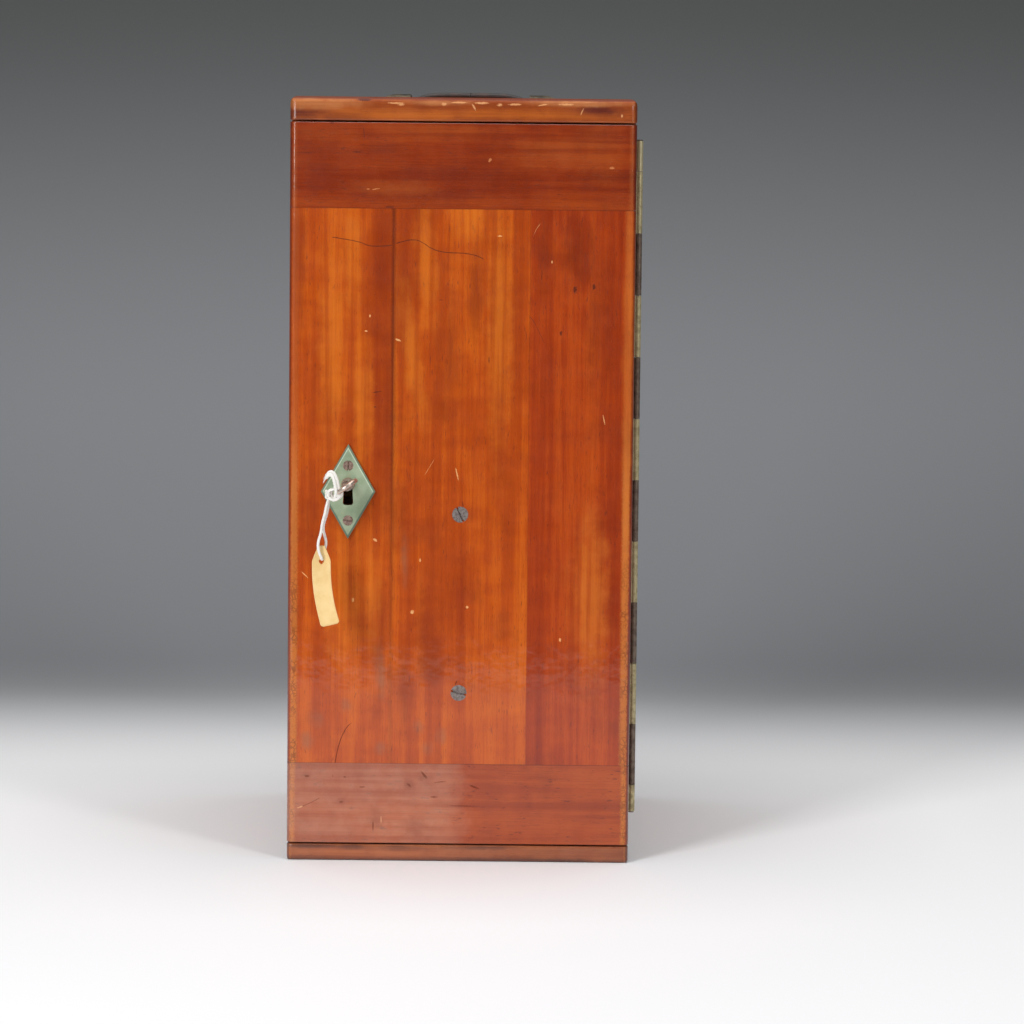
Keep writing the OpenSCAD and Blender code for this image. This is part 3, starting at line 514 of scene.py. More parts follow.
    def finish(self, outer):
        g = self.g
        inside = self.dry_inside()
        ripple = g.noise(g.place, 0.14, 2.0)
        eased = self.eased_normal(outer)
        rough = g.ramp(g.noise(g.place, 0.09, 4.0, 0.6), 0.3, 0.7, 0.28, 0.4)
        rough = g.add(g.add(rough, g.mul(self.dull, 0.22)), g.mul(inside, 0.25))
        normal = g.bump(ripple, 0.0004, 0.18, g.bump(self.height, 0.00009, 0.45, eased))
        coat = g.mul(g.sub(1.0, inside), g.ramp(self.dull, 0.0, 1.0, 0.85, 0.05))
        return g.surface(Base_Color=self.body, Roughness=rough, Normal=normal, Coat_Weight=coat, Coat_Roughness=0.09,
                         Coat_Normal=g.bump(ripple, 0.0004, 0.25, eased), Specular_IOR_Level=0.16)


def board_wood(name, along, seed, palette, marks=None, edge=None, seams=(), outer=None, haze=0.0, dents=0.0):
    """Material of a board; edge is the |X| where its worn strip begins."""
    board = Board(name, along, seed, *palette)
    if haze:
        board.add_haze(haze)
    if dents:
        board.add_dents(dents)
    if edge is not None:
        board.wear_edges(edge)
    board.add_seams(seams)
    if marks:
        board.add_marks(marks(board.marks))
    board.dull_and_shade_top_arris()
    return board.finish(outer)


def bare_wood(name, along, seed):
    """Unvarnished wood of the fittings inside."""
    g = Graph(name)
    def grain(across, run, detail):
        return g.grain(along, across, run, (seed, 3 * seed, seed), detail, bend=0.2)
    tone = g.weigh((grain(0.12, 0.012, 2.0), 0.6), (grain(0.6, 0.02, 3.0), 0.4))
    pore = g.ramp(grain(3.2, 0.25, 1.0), 0.62, 0.72)
    stain = g.ramp(g.noise(g.place, 0.07, 4.0, 0.6), 0.5, 0.72, 0.0, 0.35)
    body = g.mix(g.ramp(tone, 0.36, 0.64), rgb(132, 78, 42), rgb(188, 130, 78))
    body = g.mix(g.mul(pore, 0.5), body, rgb(80, 44, 24))
    body = g.mix(stain, body, rgb(96, 58, 34))
    normal = g.bump(g.sub(g.mul(tone, 0.4), pore), 0.00008, 0.6)
    return g.surface(Base_Color=body, Roughness=0.58, Normal=normal)


def worn_metal(name, colour, stain, metallic=1.0, rough=(0.28, 0.5), scale=0.35, bright_above=None, keyhole=False):
    """Metal with cloudy tarnish; above the height bright_above its colour turns pale.

    With keyhole, painted shade darkens it where it shows through the keyhole of the escutcheon.
    """
    g = Graph(name)
    cloud = g.noise(g.place, scale, 5.0, 0.65)
    spots = g.noise(g.place, scale * 7, 3.0, 0.5)
    body = g.mix(g.ramp(g.weigh((cloud, 0.8), (spots, 0.2)), 0.4, 0.62), colour, stain)
    if bright_above is not None:
        body = g.mix(g.ramp(g.z, bright_above - 0.3, bright_above, 0.0, 0.85), body, rgb(206, 194, 152))
    if keyhole:
        # Painted shade: the lock seen through the keyhole is laid nearly black
        off_x, off_z = g.size(g.sub(g.x, KEY_X / MM)), g.size(g.sub(g.z, KEY_Z / MM - 2.0))
        shade = g.mul(g.fall(off_x, *KEYHOLE_X), g.fall(off_z, *KEYHOLE_Z), g.fall(g.y, *KEYHOLE_Y))
        body = g.mix(g.mul(shade, 0.94), body, rgb(16, 12, 10))
    grooves = g.noise(g.stretched("z", 3.0, 0.2), 1.0, 2.0)
    body = g.mix(g.ramp(grooves, 0.5, 0.7, 0.0, 0.25), body, stain)
    roughness = g.add(g.ramp(cloud, 0.3, 0.7, *rough), g.mul(spots, 0.12))
    return g.surface(Base_Color=body, Metallic=metallic, Roughness=roughness, Normal=g.bump(spots, 0.00003, 0.5))


def verdigris():
    """Brass plate under a dull green skin, with painted shade on its bevels, darkest on the lower ones, and a
    painted highlight along the inner line of its upper bevels.
    """
    g = Graph("verdigris")
    cloud = g.noise(g.place, 0.12, 5.0, 0.6)
    spots = g.noise(g.place, 1.4, 3.0, 0.65)
    body = g.mix(g.ramp(cloud, 0.3, 0.7), rgb(140, 160, 130), rgb(172, 186, 156))
    body = g.mix(g.ramp(spots, 0.6, 0.78, 0.0, 0.35), body, rgb(110, 130, 104))
    body = g.mix(g.ramp(g.noise(g.place, 0.22, 3.0), 0.54, 0.7, 0.0, 0.3), body, rgb(176, 166, 134))
    # The lozenge's own measure: 0 in its middle, 1 on its edge
    low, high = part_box("escutcheon")
    middle_x, middle_z = (low.x + high.x) / 2 / MM, (low.z + high.z) / 2 / MM
    reach_x, reach_z = (high.x - low.x) / 2 / MM, (high.z - low.z) / 2 / MM
    rise = g.sub(g.z, middle_z)
    out = g.add(g.math("DIVIDE", g.size(g.sub(g.x, middle_x)), reach_x), g.math("DIVIDE", g.size(rise), reach_z))
    upper = g.ramp(rise, -1.0, 1.0)
    bevel = g.ramp(out, 0.915, 0.935)
    line = g.mul(g.ramp(out, 0.885, 0.905), g.fall(out, 0.93, 0.945))
    # Painted shade on the bevel all round
    body = g.mix(g.mul(bevel, 0.7), body, rgb(98, 116, 96))
    # Painted highlight along the inner line of the upper bevels
    body = g.mix(g.mul(line, upper, 0.85), body, rgb(214, 232, 206))
    # More painted shade on the lower bevels
    body = g.mix(g.mul(bevel, g.fall(upper, 0.0, 1.0), 0.5), body, rgb(84, 102, 86))
    # Coppery ring that the key's collar has rubbed
    off_x, off_z = g.sub(g.x, KEY_X / MM), g.sub(g.z, KEY_Z / MM)
    near = g.math("SQRT", g.add(g.math("POWER", off_x, 2.0), g.math("POWER", off_z, 2.0)))
    ring = g.mul(g.ramp(near, 2.6, 2.9), g.fall(near, 3.1, 3.5))
    body = g.mix(g.mul(ring, 0.7), body, rgb(150, 112, 96))
    height = g.add(g.mul(spots, 0.6), cloud)
    rough = g.sub(g.ramp(cloud, 0.3, 0.7, 0.4, 0.54), g.mul(line, 0.14))
    return g.surface(Base_Color=body, Metallic=0.3, Roughness=rough, Normal=g.bump(height, 0.00005, 0.5))


def cotton():
    g = Graph("cotton")
    fibre = g.noise(g.place, 9.0, 3.0, 0.7)
    body = g.mix(g.ramp(fibre, 0.35, 0.7), rgb(232, 228, 220), rgb(250, 248, 243))
    return g.surface(Base_Color=body, Roughness=0.9, Normal=g.bump(fibre, 0.00008, 0.7), Sheen_Weight=0.4)


def paper():
    g = Graph("paper")
    fibre = g.noise(g.place, 4.0, 4.0, 0.7)
    cloud = g.noise(g.place, 0.16, 3.0, 0.6)
    body = g.mix(g.ramp(cloud, 0.35, 0.7), rgb(240, 208, 148), rgb(232, 196, 132))
    body = g.mix(g.ramp(fibre, 0.62, 0.78, 0.0, 0.3), body, rgb(170, 128, 78))
    return g.surface(Base_Color=body, Roughness=0.8, Normal=g.bump(fibre, 0.00003, 0.6))


def leather():
    g = Graph("leather")
    pebble = g.ramp(g.cells(1.1), 0.0, 0.2)
    body = g.mix(g.ramp(g.noise(g.place, 0.2, 4.0, 0.6), 0.4, 0.7), rgb(40, 34, 32), rgb(66, 44, 38))
    return g.surface(Base_Color=body, Roughness=0.48, Normal=g.bump(pebble, 0.0001, 0.5))


def paint(material, *names):
    """Gives CAD nodes their material."""
    for name in names:
        slots = NODES[name].data.materials
        slots.clear()
        slots.append(material)


# String, knot and tag, in millimetres from KNOT_AT where a list of points says where they run

STRING_ROUTE = [
    (-3.6, -0.8, -2.4), (-4.3, -0.9, -4.6), (-4.9, -0.9, -7), (-5.4, -0.9, -9.6),
    (-6.1, -1, -12.2), (-6.7, -1.1, -15), (-7, -1.4, -17.6), (-7.6, -1.8, -20.2),
    (-8.3, -2.2, -22.8), (-8.4, -2.5, -25.4), (-7.8, -2.6, -28), (-7, -2.1, -30),
    (-6.7, -0.8, -31.2), (-6.7, 0.8, -31.2), (-6.6, 2.1, -30), (-6, 2.6, -28),
    (-5.2, 2.5, -25.4), (-5, 2.2, -22.8), (-5.6, 1.8, -20.2), (-6.2, 1.4, -17.6),
    (-6.1, 1.1, -15), (-5.4, 1, -12.2), (-4.6, 0.9, -9.6), (-4.1, 0.9, -7),
    (-3.8, 0.9, -4.6), (-3.5, 0.8, -2.4),
]
KNOT_STRANDS = [
    [(0.5, -2.9, -1.6), (1.3, -3.3, 1.2), (0.8, -3.5, 4.6), (-0.1, -3.5, 7.8), (-1.3, -3.4, 9.9),
     (-2.9, -3.2, 10.3), (-4.3, -3.1, 9.0)],
    [(-0.7, -3.0, -2.0), (0.0, -4.1, 1.2), (-0.5, -4.3, 4.4), (-1.2, -4.2, 7.2), (-2.3, -4.0, 8.9),
     (-3.6, -3.9, 8.7), (-4.9, -3.7, 7.4)],
]
KNOT_LOOP = [(2.3, -2.6, -0.4), (0.9, -3.4, -2.3), (-1.7, -3.2, -2.9), (-3.8, -2.5, -1.2), (-3.4, -2.9, 1.3),
             (-1.2, -3.5, 2.1), (1.2, -3.2, 1.6)]
WRAPS, WRAP_STEPS, WRAP_R, WRAP_RUN = 3, 24, 2.5, 4.2
LUMP_AT, LUMP_SCALE, LUMP_STEPS = (-4.0, -0.3, -0.2), 0.66, 120
TIGHT_R = 0.68 * MM
END_R = 0.86 * MM
HAIRS, HAIR_R = 7, 0.16 * MM

TAG_HOLE = Vector((-6.7, 0, -32)) * MM
TAG_W, TAG_LEN, TAG_T = 8.9 * MM, 37.6 * MM, 0.45 * MM
TAG_HOLE_DROP = 7.2 * MM
TAG_SHOULDER_W, TAG_SHOULDER_H = 3.0 * MM, 7.6 * MM
TAG_LEAN = math.radians(2.5)
TAG_CORNER = 1.2 * MM
TAG_TWIST, TAG_CURL, TAG_CUP = 0.9 * MM, 3.0 * MM, 0.5 * MM
TAG_SWAY, TAG_BOW = 3.1 * MM, 0.5 * MM
TAG_ROWS, TAG_COLUMNS = 56, 17


def frayed_end(i, strand):
    """One short end of the string, with its loose hairs."""
    pieces = [rope_mesh(f"string_end_{i}", catmull(strand, 8), END_R, depth=0.24)]
    tip, before = strand[-1], strand[-2]
    run = (tip - before) / np.linalg.norm(tip - before)
    for k in range(HAIRS):
        turn = 2 * math.pi * k / HAIRS + i
        side = np.array((0.0, math.cos(turn), math.sin(turn)))
        hair = [tip - run * 0.6 * MM + side * 0.35 * MM, tip + run * 0.7 * MM + side * 0.6 * MM,
                tip + run * (1.6 + 0.3 * math.sin(5 * k)) * MM + side * 1.2 * MM]
        pieces.append(rope_mesh(f"string_hair_{i}_{k}", catmull(hair, 4), HAIR_R, plies=1, depth=0.0, sides=6,
                                taper=0.6))
    return pieces


def make_knot(material):
    """Turns round the ring of the key, the knot over them and two short frayed ends."""
    centre = np.array(KNOT_AT)
    turns = []
    for i in range(WRAPS * WRAP_STEPS + 1):
        a = 2 * math.pi * i / WRAP_STEPS
        along = (i / (WRAPS * WRAP_STEPS) - 0.5) * WRAP_RUN
        turns.append(centre + MM * np.array((WRAP_R * math.cos(a), along, WRAP_R * math.sin(a))))
    lump = []
    for i in range(LUMP_STEPS):
        t = 2 * math.pi * i / LUMP_STEPS
        trefoil = np.array((-1.3 * math.sin(3 * t), math.sin(t) + 2 * math.sin(2 * t),
                            math.cos(t) - 2 * math.cos(2 * t)))
        lump.append(centre + MM * (np.array(LUMP_AT) + LUMP_SCALE * trefoil))
    # Three points more close the loop, and their own stretches are cut off again
    ring = catmull(KNOT_LOOP + KNOT_LOOP[:3], 10)[10:-20]
    pieces = [rope_mesh("string_wraps", np.array(turns), TIGHT_R),
              rope_mesh("string_lump", np.array(lump), TIGHT_R, closed=True),
              rope_mesh("string_ring", ring * MM + centre, STRING_R, closed=True)]
    for i, strand in enumerate(KNOT_STRANDS):
        pieces += frayed_end(i, np.array(strand) * MM + centre)
    return join("string_knot_tied", pieces, material)


def join(name, pieces, material):
    """One object from several meshes that are in place."""
    points, faces = [], []
    for piece in pieces:
        base = len(points)
        points += [piece.matrix_world @ v.co for v in piece.data.vertices]
        faces += [tuple(base + i for i in p.vertices) for p in piece.data.polygons]
    made = mesh_object(name, points, faces)
    for piece in pieces:
        bpy.data.objects.remove(piece)
    made.data.materials.append(material)
    return made


def tag_point(side, i, j):
    """Point of the tag's grid: side 0 is the front, 1 the back."""
    s = i / TAG_ROWS
    drop = s * TAG_LEN
    half = TAG_W / 2
    if drop < TAG_SHOULDER_H:
        half -= TAG_SHOULDER_W * (1 - drop / TAG_SHOULDER_H) ** 1.2
    end = (TAG_LEN - drop) / TAG_CORNER
    if end < 1:
        half -= TAG_CORNER * (1 - math.sqrt(1 - (1 - end) ** 2))
    u = (2 * j / (TAG_COLUMNS - 1) - 1) * half
    across = u / (TAG_W / 2)
    low = max(0.0, s - 0.3) / 0.7
    lean = TAG_SWAY * low**2 - TAG_BOW * math.sin(math.pi * s)
    y = -TAG_CURL * low**2 - TAG_CUP * across**2 + (side - 0.5) * TAG_T
    tilt = TAG_TWIST * across * max(0.0, s - 0.7) / 0.3
    return u + lean, y, TAG_HOLE_DROP - drop + tilt


def close_rim(mesh):
    """Joins the front and the back of the tag along its outline and round its hole."""
    edit = bmesh.new()
    edit.from_mesh(mesh)
    bmesh.ops.delete(edit, geom=[v for v in edit.verts if not v.link_faces], context="VERTS")
    rim = [e for e in edit.edges if e.is_boundary]
    flat, twin = {}, {}
    for v in edit.verts:
        flat.setdefault((round(v.co.x * 1e7), round(v.co.z * 1e7)), []).append(v)
    for pair in flat.values():
        if len(pair) == 2:
            twin[pair[0]], twin[pair[1]] = pair[1], pair[0]
    done = set()
    for edge in rim:
        a, b = edge.verts
        key = frozenset((a, b, twin[a], twin[b]))
        if key not in done:
            done.add(key)
            edit.faces.new((a, b, twin[b], twin[a]))
    bmesh.ops.recalc_face_normals(edit, faces=edit.faces)
    edit.to_mesh(mesh)
    edit.free()


def make_tag(material):
    """Card tag with clipped shoulders, a torn hole and a curl in its lower half."""
    points = [tag_point(side, i, j) for side in (0, 1) for i in range(TAG_ROWS + 1) for j in range(TAG_COLUMNS)]

    def at(side, i, j):
        return (side * (TAG_ROWS + 1) + i) * TAG_COLUMNS + j

    top, left = round(TAG_HOLE_DROP / TAG_LEN * TAG_ROWS) - 2, TAG_COLUMNS // 2 - 2
    corners = {(i, j) for i in (top, top + 3) for j in (left, left + 3)}
    hole = {(i, j) for i in range(top, top + 4) for j in range(left, left + 4)} - corners
    faces = []
    for i in range(TAG_ROWS):
        for j in range(TAG_COLUMNS - 1):
            if (i, j) not in hole:
                faces.append((at(0, i, j), at(0, i + 1, j), at(0, i + 1, j + 1), at(0, i, j + 1)))
                faces.append((at(1, i, j), at(1, i, j + 1), at(1, i + 1, j + 1), at(1, i + 1, j)))
    tag = mesh_object("paper_tag", points, faces)
    close_rim(tag.data)
    tag.data.transform(Matrix.Translation(KNOT_AT + TAG_HOLE) @ Matrix.Rotation(-TAG_LEAN, 4, "Y"))
    tag.data.materials.append(material)
    return tag


def make_string():
    cotton_material = cotton()
    path = catmull(np.array(STRING_ROUTE) * MM + np.array(KNOT_AT), 5)
    string = rope_mesh("tag_cord", path, STRING_R)
    string.data.materials.append(cotton_material)
    knot = make_knot(cotton_material)
    tag = make_tag(paper())
    rows = ((string, "tag_string", "cotton"), (knot, "string_knot", "cotton"), (tag, "tag", "tag_paper"))
    for piece, node, slot in rows:
        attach(piece, "tag")
        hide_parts(node)


# Strap

STRAP_ARCH = 5
STRAP_T = 3 * MM
STRAP_INTO_CAP = 0.5 * MM
STRAP_STEPS, STRAP_SIDES = 60, 40


def strap_section(half_w):
    """Rounded oblong, as Y and Z about its middle."""
    turns = [2 * math.pi * k / STRAP_SIDES for k in range(STRAP_SIDES)]
    return [(math.copysign(1, math.cos(a)) * abs(math.cos(a)) ** 0.35 * half_w,
             math.copysign(1, math.sin(a)) * abs(math.sin(a)) ** 0.7 * STRAP_T / 2) for a in turns]


def make_strap(material):
    """Two halves of the leather strap, each bent between its cap and the middle that rises."""
    low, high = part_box("handle_strap")
    cap_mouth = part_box("handle_cap_left")[1].x
    middle = (low.x + high.x) / 2
    reach = (high.x - low.x) / 2
    flat = middle - cap_mouth + STRAP_INTO_CAP
    rise = high.z - low.z - STRAP_T
    section = strap_section((high.y - low.y) / 2)
    n = len(section)
    for side, name in ((-1, "strap_half_left"), (1, "strap_half_right")):
        points, faces = [], []
        for i in range(STRAP_STEPS + 1):
            x = reach * (1 - i / STRAP_STEPS)
            lift = rise * (1 - (x / flat) ** STRAP_ARCH) if x < flat else 0.0
            points += [(middle + side * x, v, low.z + STRAP_T / 2 + w + max(lift, 0)) for v, w in section]
        for i in range(STRAP_STEPS):
            for k in range(n):
                a, b = i * n + k, i * n + (k + 1) % n
                faces.append((a, b, b + n, a + n) if side > 0 else (a, a + n, b + n, b))
        faces.append(tuple(range(n)) if side < 0 else tuple(range(n))[::-1])
        faces.append(tuple(STRAP_STEPS * n + k for k in range(n)))
        half = mesh_object(name, points, faces)
        half.data.materials.append(material)
        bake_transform(half)
        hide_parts("handle_strap")


# Stage

FLOOR_FRONT, FLOOR_BACK, FLOOR_HALF = -0.85, 0.5, 2.4
BEND_R, BEND_STEPS = 0.5, 24
WALL_TOP = 2.6
AIM = (0, 0, 0.2)
WORLD_COLOUR, WORLD_LEVEL = (0.95, 0.97, 1.0, 1.0), 0.07


def area_lamp(name, at, size, power):
    data = bpy.data.lights.new(name, "AREA")
    data.shape = "RECTANGLE"
    data.size, data.size_y = size
    data.energy = power
    lamp = bpy.data.objects.new(name, data)
    SCENE.collection.objects.link(lamp)
    lamp.location = at
    lamp.rotation_euler = (Vector(AIM) - Vector(at)).to_track_quat("-Z", "Y").to_euler()


def make_floor():
    """Pale floor that curves up into a grey wall, which painted shade darkens towards its top."""
    outline = [(FLOOR_FRONT, 0.0), (0.0, 0.0), (FLOOR_BACK, 0.0)]
    for i in range(1, BEND_STEPS + 1):
        a = math.pi / 2 * i / BEND_STEPS
        outline.append((FLOOR_BACK + BEND_R * math.sin(a), BEND_R * (1 - math.cos(a))))
    outline.append((FLOOR_BACK + BEND_R, WALL_TOP))
    points = [(x, y, z) for y, z in outline for x in (-FLOOR_HALF, FLOOR_HALF)]
    faces = [(2 * i, 2 * i + 1, 2 * i + 3, 2 * i + 2) for i in range(len(outline) - 1)]
    floor = mesh_object("floor", points, faces)
    g = Graph("floor")
    pale = g.mix(g.noise(g.place, 0.002, 2.0), rgb(251, 251, 252), rgb(246, 247, 249))
    # Painted shade: the wall grows darker towards its top
    wall = g.mix(g.ramp(g.z, 150.0, 600.0), rgb(132, 134, 137), rgb(74, 75, 74))
    body = g.mix(g.ramp(g.y, 180.0, 620.0), pale, wall)
    floor.data.materials.append(g.surface(Base_Color=body, Roughness=0.7, Specular_IOR_Level=0.2))


def make_stage():
    make_floor()
    world = bpy.data.worlds.new("world")
    world.use_nodes = True
    colour, level = world.node_tree.nodes["Background"].inputs[:2]
    colour.default_value, level.default_value = WORLD_COLOUR, WORLD_LEVEL
    SCENE.world = world
    area_lamp("left_light", (-0.98, -1.5, 0.87), (0.45, 1.0), 20)
    area_lamp("right_light", (1.05, -1.45, 0.94), (0.28, 1.0), 9)
    area_lamp("top_light", (0.0, -0.1, 1.8), (1.2, 1.2), 21)
    SCENE.view_settings.view_transform = "Standard"


# Marks, as rows of a colour, its share, a depth and the masks that it covers

DARK_CLOUD, GOLD_CLOUD = rgb(130, 44, 12), rgb(222, 122, 34)
CRACK, CHIP = rgb(74, 28, 12), rgb(236, 176, 112)


def left_marks(m):
    """Marks of the left door board."""
    crack = m.line([(331, 237), (344, 239), (359, 242), (372, 246), (384, 246), (393, 245)], 0.3)
    arc = m.line([(333, 775), (335, 763), (338, 748), (343, 734), (349, 725), (356, 722)], 0.26, upright=True)
    return [
        (DARK_CLOUD, 0.62, 0.0, [
            m.patch(384, 262, 6.0, 26.0), m.patch(388, 420, 3.0, 60.0), m.patch(383, 622, 6.0, 20.0),
            m.patch(310, 520, 4.5, 24.0), m.patch(300, 250, 3.0, 40.0)]),
        (GOLD_CLOUD, 0.5, 0.0, [
            m.patch(332, 350, 6.0, 50.0), m.patch(352, 262, 5.0, 26.0), m.patch(362, 400, 5.0, 30.0),
            m.patch(340, 600, 7.0, 34.0), m.patch(372, 590, 4.0, 26.0)]),
        (rgb(128, 92, 70), 0.45, 0.0, [
            m.patch(382, 675, 3.0, 13.0, 6), m.patch(346, 705, 3.0, 3.0), m.patch(315, 720, 3.4, 4.2),
            m.patch(307, 741, 3.0, 4.5), m.patch(382, 747, 4.0, 3.2)]),
        (CRACK, 0.8, 1.6, [crack, arc, m.spot(377, 392, 2.6, 0.28, 8), m.spot(375, 407, 0.7, 0.3)]),
        (CHIP, 0.8, 0.9, [
            m.spot(375, 540, 1.1, 0.7, -30), m.spot(305, 575, 2.2, 0.3, -45), m.spot(353, 600, 0.7, 1.0),
            m.spot(300, 790, 1.2, 0.4, 20), m.spot(370, 316, 0.4, 0.8), m.spot(366, 331, 0.7, 0.4),
            m.spot(352, 462, 0.6, 0.4)]),
    ]


def middle_marks(m):
    """Marks of the middle door board."""
    crack = m.line([(395, 244), (401, 242), (415, 240), (423, 243), (433, 249), (443, 252), (469, 254),
                    (485, 260)], 0.3)
    return [
        (DARK_CLOUD, 0.6, 0.0, [
            m.patch(402, 290, 5.0, 34.0), m.patch(400, 515, 4.0, 18.0), m.patch(428, 640, 6.0, 30.0, 4),
            m.patch(448, 355, 7.0, 36.0), m.patch(405, 690, 4.0, 24.0), m.patch(476, 290, 4.0, 26.0)]),
        (GOLD_CLOUD, 0.5, 0.0, [
            m.patch(500, 330, 6.0, 60.0), m.patch(426, 262, 5.0, 30.0, 3), m.patch(413, 360, 4.5, 36.0, 8),
            m.patch(470, 220, 8.0, 12.0)]),
        (rgb(124, 90, 70), 0.4, 0.0, [
            m.patch(417, 727, 2.6, 3.6), m.patch(428, 749, 3.2, 3.6), m.patch(405, 560, 2.2, 11.0),
            m.patch(440, 735, 2.6, 4.0)]),
        (CRACK, 0.8, 1.6, [
            crack, m.spot(456, 683, 1.6, 0.25, 70), m.spot(441, 300, 0.9, 0.22), m.spot(489, 360, 0.3, 1.6),
            m.spot(463, 505, 0.25, 1.8, 10), m.line([(387, 336), (384, 332), (381, 324)], 0.2, upright=True)]),
        (CHIP, 0.8, 0.9, [
            m.line([(424, 476), (429, 468), (435, 458)], 0.2), m.spot(457, 474, 0.35, 3.2, 14),
            m.spot(412, 612, 0.9, 1.0), m.spot(467, 607, 0.7, 0.7), m.spot(398, 340, 1.6, 0.5, -20),
            m.spot(420, 560, 0.5, 0.9), m.spot(500, 236, 1.2, 0.4)]),
    ]


def right_marks(m):
    """Marks of the right door board."""
    return [
        (rgb(104, 30, 12), 0.5, 0.0, [
            m.patch(580, 250, 10.0, 20.0), m.patch(600, 330, 7.0, 36.0), m.patch(545, 250, 5.0, 28.0)]),
        (rgb(212, 118, 40), 0.5, 0.0, [m.patch(628, 380, 2.4, 95.0), m.patch(590, 600, 9.0, 40.0)]),
        (rgb(60, 22, 12), 0.75, 1.2, [
            m.spot(575, 290, 1.0, 1.8), m.spot(594, 287, 0.8, 1.5), m.spot(561, 333, 0.7, 1.2),
            m.line([(523, 312), (531, 318), (538, 330), (545, 345)], 0.24)]),
        (rgb(236, 170, 108), 0.75, 0.8, [
            m.line([(533, 237), (536, 230), (541, 223)], 0.26), m.spot(552, 262, 0.4, 0.7),
            m.spot(560, 640, 0.6, 0.9), m.spot(604, 420, 0.3, 2.4, 12)]),
    ]


def top_clamp_marks(m):
    """Marks of the clamp across the top of the door."""
    return [
        (rgb(104, 34, 20), 0.45, 0.0, [
            m.patch(320, 160, 14.0, 14.0), m.patch(440, 172, 20.0, 4.0), m.patch(385, 150, 12.0, 4.0),
            m.patch(420, 195, 30.0, 4.0)]),
        (rgb(172, 82, 32), 0.5, 0.0, [
            m.patch(560, 150, 26.0, 8.0), m.patch(430, 132, 34.0, 4.0), m.patch(600, 150, 12.0, 16.0),
            m.patch(330, 134, 18.0, 3.0), m.patch(390, 188, 22.0, 4.0)]),
        (rgb(70, 26, 18), 0.55, 0.9, [
            m.spot(332, 123, 1.0, 0.6), m.spot(343, 149, 1.0, 0.35), m.spot(307, 153, 2.4, 0.25),
            m.spot(357, 152, 2.6, 0.5), m.spot(364, 133, 0.25, 3.0, 4), m.spot(390, 207, 2.4, 0.5)]),
        (rgb(218, 140, 84), 0.6, 0.8, [
            m.spot(490, 160, 0.7, 1.1, -30), m.spot(376, 189, 1.8, 0.3, 10), m.spot(368, 189, 1.0, 0.3),
            m.spot(612, 168, 1.2, 0.7)]),
    ]


def bottom_clamp_marks(m):
    """Marks of the clamp across the bottom of the door."""
    scratch = m.line([(300, 807), (310, 803), (321, 797)], 0.22)
    arc = m.line([(332, 778), (333, 774)], 0.26, upright=True)
    return [
        (rgb(198, 144, 118), 0.46, 0.0, [m.left_of(458, 800, 8.0)]),
        (rgb(120, 56, 40), 0.34, 0.0, [
            m.patch(414, 830, 6.0, 6.0), m.patch(376, 818, 3.4, 6.0), m.patch(307, 776, 3.2, 2.2),
            m.patch(341, 802, 3.0, 1.8), m.patch(424, 777, 3.4, 4.4, 40), m.patch(409, 785, 2.4, 3.0, 50)]),
        (rgb(88, 38, 24), 0.6, 1.0, [
            scratch, arc, m.spot(307, 776, 1.3, 0.5), m.spot(362, 787, 1.4, 0.4),
            m.spot(341, 802, 1.0, 0.4), m.spot(424, 775, 0.6, 2.2, 40), m.spot(434, 797, 1.8, 0.4),
            m.spot(373, 826, 0.35, 2.8), m.spot(345, 777, 0.8, 0.4), m.spot(409, 785, 0.5, 1.4, 50),
            m.spot(474, 787, 2.8, 0.5, -20), m.spot(440, 782, 3.0, 0.25, 6), m.spot(462, 806, 7.0, 0.25)]),
        (rgb(238, 186, 140), 0.5, 0.8, [m.spot(300, 807, 1.6, 0.4, 20), m.spot(381, 820, 0.3, 1.8)]),
    ]


def top_board_marks(m):
    """Worn front arris of the top board."""
    return [
        (rgb(84, 30, 28), 0.85, 0.0, [
            m.patch(303, 115, 15.0, 3.8), m.patch(340, 117, 14.0, 2.2), m.patch(600, 111, 14.0, 3.0)]),
        (rgb(198, 104, 34), 0.5, 0.0, [m.patch(400, 116, 34.0, 2.2), m.patch(520, 115, 36.0, 2.0)]),
        (rgb(206, 138, 84), 0.8, 0.2, [
            m.patch(322, 103.5, 20.0, 2.4), m.patch(308, 103, 12.0, 2.4), m.patch(440, 103, 16.0, 1.2),
            m.patch(580, 104, 24.0, 1.4)]),
        (rgb(224, 160, 106), 0.75, 0.8, [
            m.spot(396, 103, 4.0, 0.45), m.spot(401, 104.5, 1.6, 0.6), m.spot(444, 104, 1.2, 0.8),
            m.spot(459, 102.5, 4.0, 0.4), m.spot(474, 107, 0.5, 1.8, 30), m.spot(482, 103, 3.4, 0.6),
            m.spot(500, 105, 1.4, 0.7), m.spot(515, 104.5, 3.4, 0.5), m.spot(543, 105, 2.6, 0.4, 10),
            m.spot(566, 104.5, 4.0, 0.5), m.spot(582, 112, 0.3, 1.8, -25), m.spot(622, 116, 0.5, 1.0)]),
        (rgb(62, 22, 26), 0.8, 0.8, [m.spot(364, 99.5, 3.8, 0.7)]),
    ]


def base_marks(m):
    """Rubbed front edge of the base board, with painted shade along the gap under the door and along its lower
    arris.
    """
    return [
        (rgb(184, 104, 64), 0.5, 0.0, [m.patch(380, 853, 46.0, 3.0)]),
        # Painted shade in the gap under the door and on the lower arris
        (rgb(62, 36, 34), 0.75, 0.0, [
            m.patch(310, 846, 16.0, 1.0), m.patch(352, 847, 9.0, 1.2), m.patch(402, 848, 10.0, 1.3),
            m.patch(480, 848, 16.0, 1.0), m.patch(300, 859.5, 26.0, 2.0), m.patch(380, 860.5, 50.0, 1.4),
            m.patch(520, 860.5, 60.0, 1.4)]),
    ]


# Seams as (axis, place), width and strength; palettes as dark, middle and light

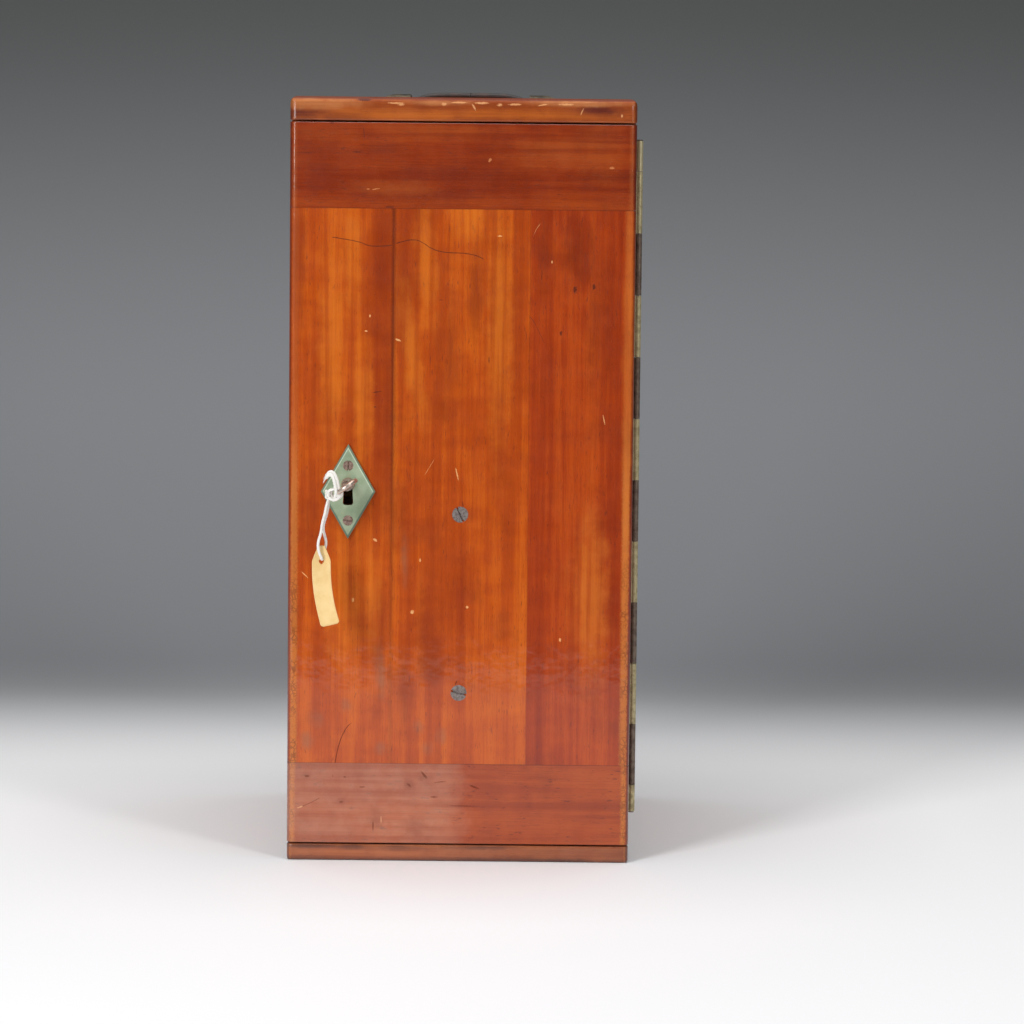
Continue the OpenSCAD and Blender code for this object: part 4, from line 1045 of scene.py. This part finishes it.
CLAMP_SEAMS = [(("z", 313.6), 0.5, 0.3), (("z", 47.4), 0.35, 0.55)]
LEFT_JOINT, RIGHT_JOINT = -32.5, 32.5
LEFT_SEAMS = CLAMP_SEAMS + [(("x", LEFT_JOINT - 0.2), 1.7, 0.6)]
MIDDLE_SEAMS = CLAMP_SEAMS + [(("x", LEFT_JOINT), 1.5, 0.45), (("x", RIGHT_JOINT), 0.5, 0.4)]
FIELD = rgb(150, 53, 8), rgb(186, 77, 12), rgb(213, 106, 22)
FIELD_RED = rgb(134, 40, 8), rgb(170, 62, 12), rgb(194, 84, 20)
CLAMP = rgb(112, 34, 8), rgb(139, 47, 12), rgb(164, 68, 20)
LOW_CLAMP = rgb(132, 44, 8), rgb(160, 62, 14), rgb(182, 82, 26)
CASE = rgb(124, 50, 16), rgb(160, 76, 28), rgb(182, 98, 42)
BASE = rgb(108, 48, 22), rgb(142, 70, 34), rgb(168, 96, 54)
DOOR_RIM = (82.5, 8.8, 354.2)


def paint_wood():
    paint(board_wood("wood_left", "z", 1, FIELD, left_marks, edge=78.2, seams=LEFT_SEAMS, outer=DOOR_RIM, dents=0.5),
          "door_board_left")
    paint(board_wood("wood_middle", "z", 2, FIELD, middle_marks, seams=MIDDLE_SEAMS, outer=DOOR_RIM, dents=0.5),
          "door_board_middle")
    paint(board_wood("wood_right", "z", 3, FIELD_RED, right_marks, edge=78.0, seams=CLAMP_SEAMS, outer=DOOR_RIM,
                     dents=0.5), "door_board_right")
    paint(board_wood("wood_top_clamp", "x", 4, CLAMP, top_clamp_marks, edge=79.5, seams=CLAMP_SEAMS,
                     outer=DOOR_RIM, dents=0.5), "door_top_clamp")
    paint(board_wood("wood_bottom_clamp", "x", 5, LOW_CLAMP, bottom_clamp_marks, edge=79.0, seams=CLAMP_SEAMS,
                     outer=DOOR_RIM, haze=0.03, dents=0.8), "door_bottom_clamp")
    paint(board_wood("wood_top", "x", 6, CASE, top_board_marks, edge=81.0), "top_board")
    paint(board_wood("wood_base", "x", 7, BASE, base_marks, edge=81.0, haze=0.12, dents=0.4), "base_board")
    paint(board_wood("wood_side", "z", 8, CASE), "left_side", "right_side", "back_panel")
    paint(bare_wood("wood_inner", "z", 9), "rack_batten")
    paint(bare_wood("wood_shelf", "x", 4), "eyepiece_shelf", "objective_shelf", "foot_stop")
    paint(bare_wood("wood_rail", "y", 6), "foot_rail_left", "foot_rail_right")


def paint_metal():
    paint(worn_metal("hinge_pale", rgb(196, 183, 140), rgb(156, 142, 106), 0.45), "door_hinge_leaf")
    paint(worn_metal("hinge_dark", rgb(126, 110, 94), rgb(94, 78, 68), 0.5, bright_above=332), "case_hinge_leaf")
    paint(verdigris(), "escutcheon")
    paint(worn_metal("steel", rgb(150, 142, 136), rgb(96, 84, 76)),
          "hinge_pin", "case_hinge_screws", "door_hinge_screws", "strike_screws", "lock_screws", "lock_spring",
          "key_post", "lock_bolt")
    paint(worn_metal("plate_screw", rgb(172, 146, 132), rgb(112, 86, 76), 0.5, scale=0.8), "escutcheon_screws")
    paint(worn_metal("face_screw", rgb(146, 138, 134), rgb(104, 90, 86), 0.5, scale=0.8), "rack_screws")
    paint(worn_metal("key_metal", rgb(226, 214, 200), rgb(158, 136, 122), 0.8, rough=(0.16, 0.34)), "key")
    paint(worn_metal("lock_metal", rgb(190, 160, 98), rgb(160, 130, 76), 0.7, keyhole=True),
          "lock_case", "lock_cap", "strike_plate", "back_screws")
    paint(worn_metal("old_brass", rgb(76, 64, 44), rgb(42, 38, 32), 0.6, rough=(0.4, 0.56)),
          "handle_cap_left", "handle_cap_right", "handle_cap_screws")


make_camera()
make_string()
make_strap(leather())
paint_wood()
paint_metal()
make_stage()
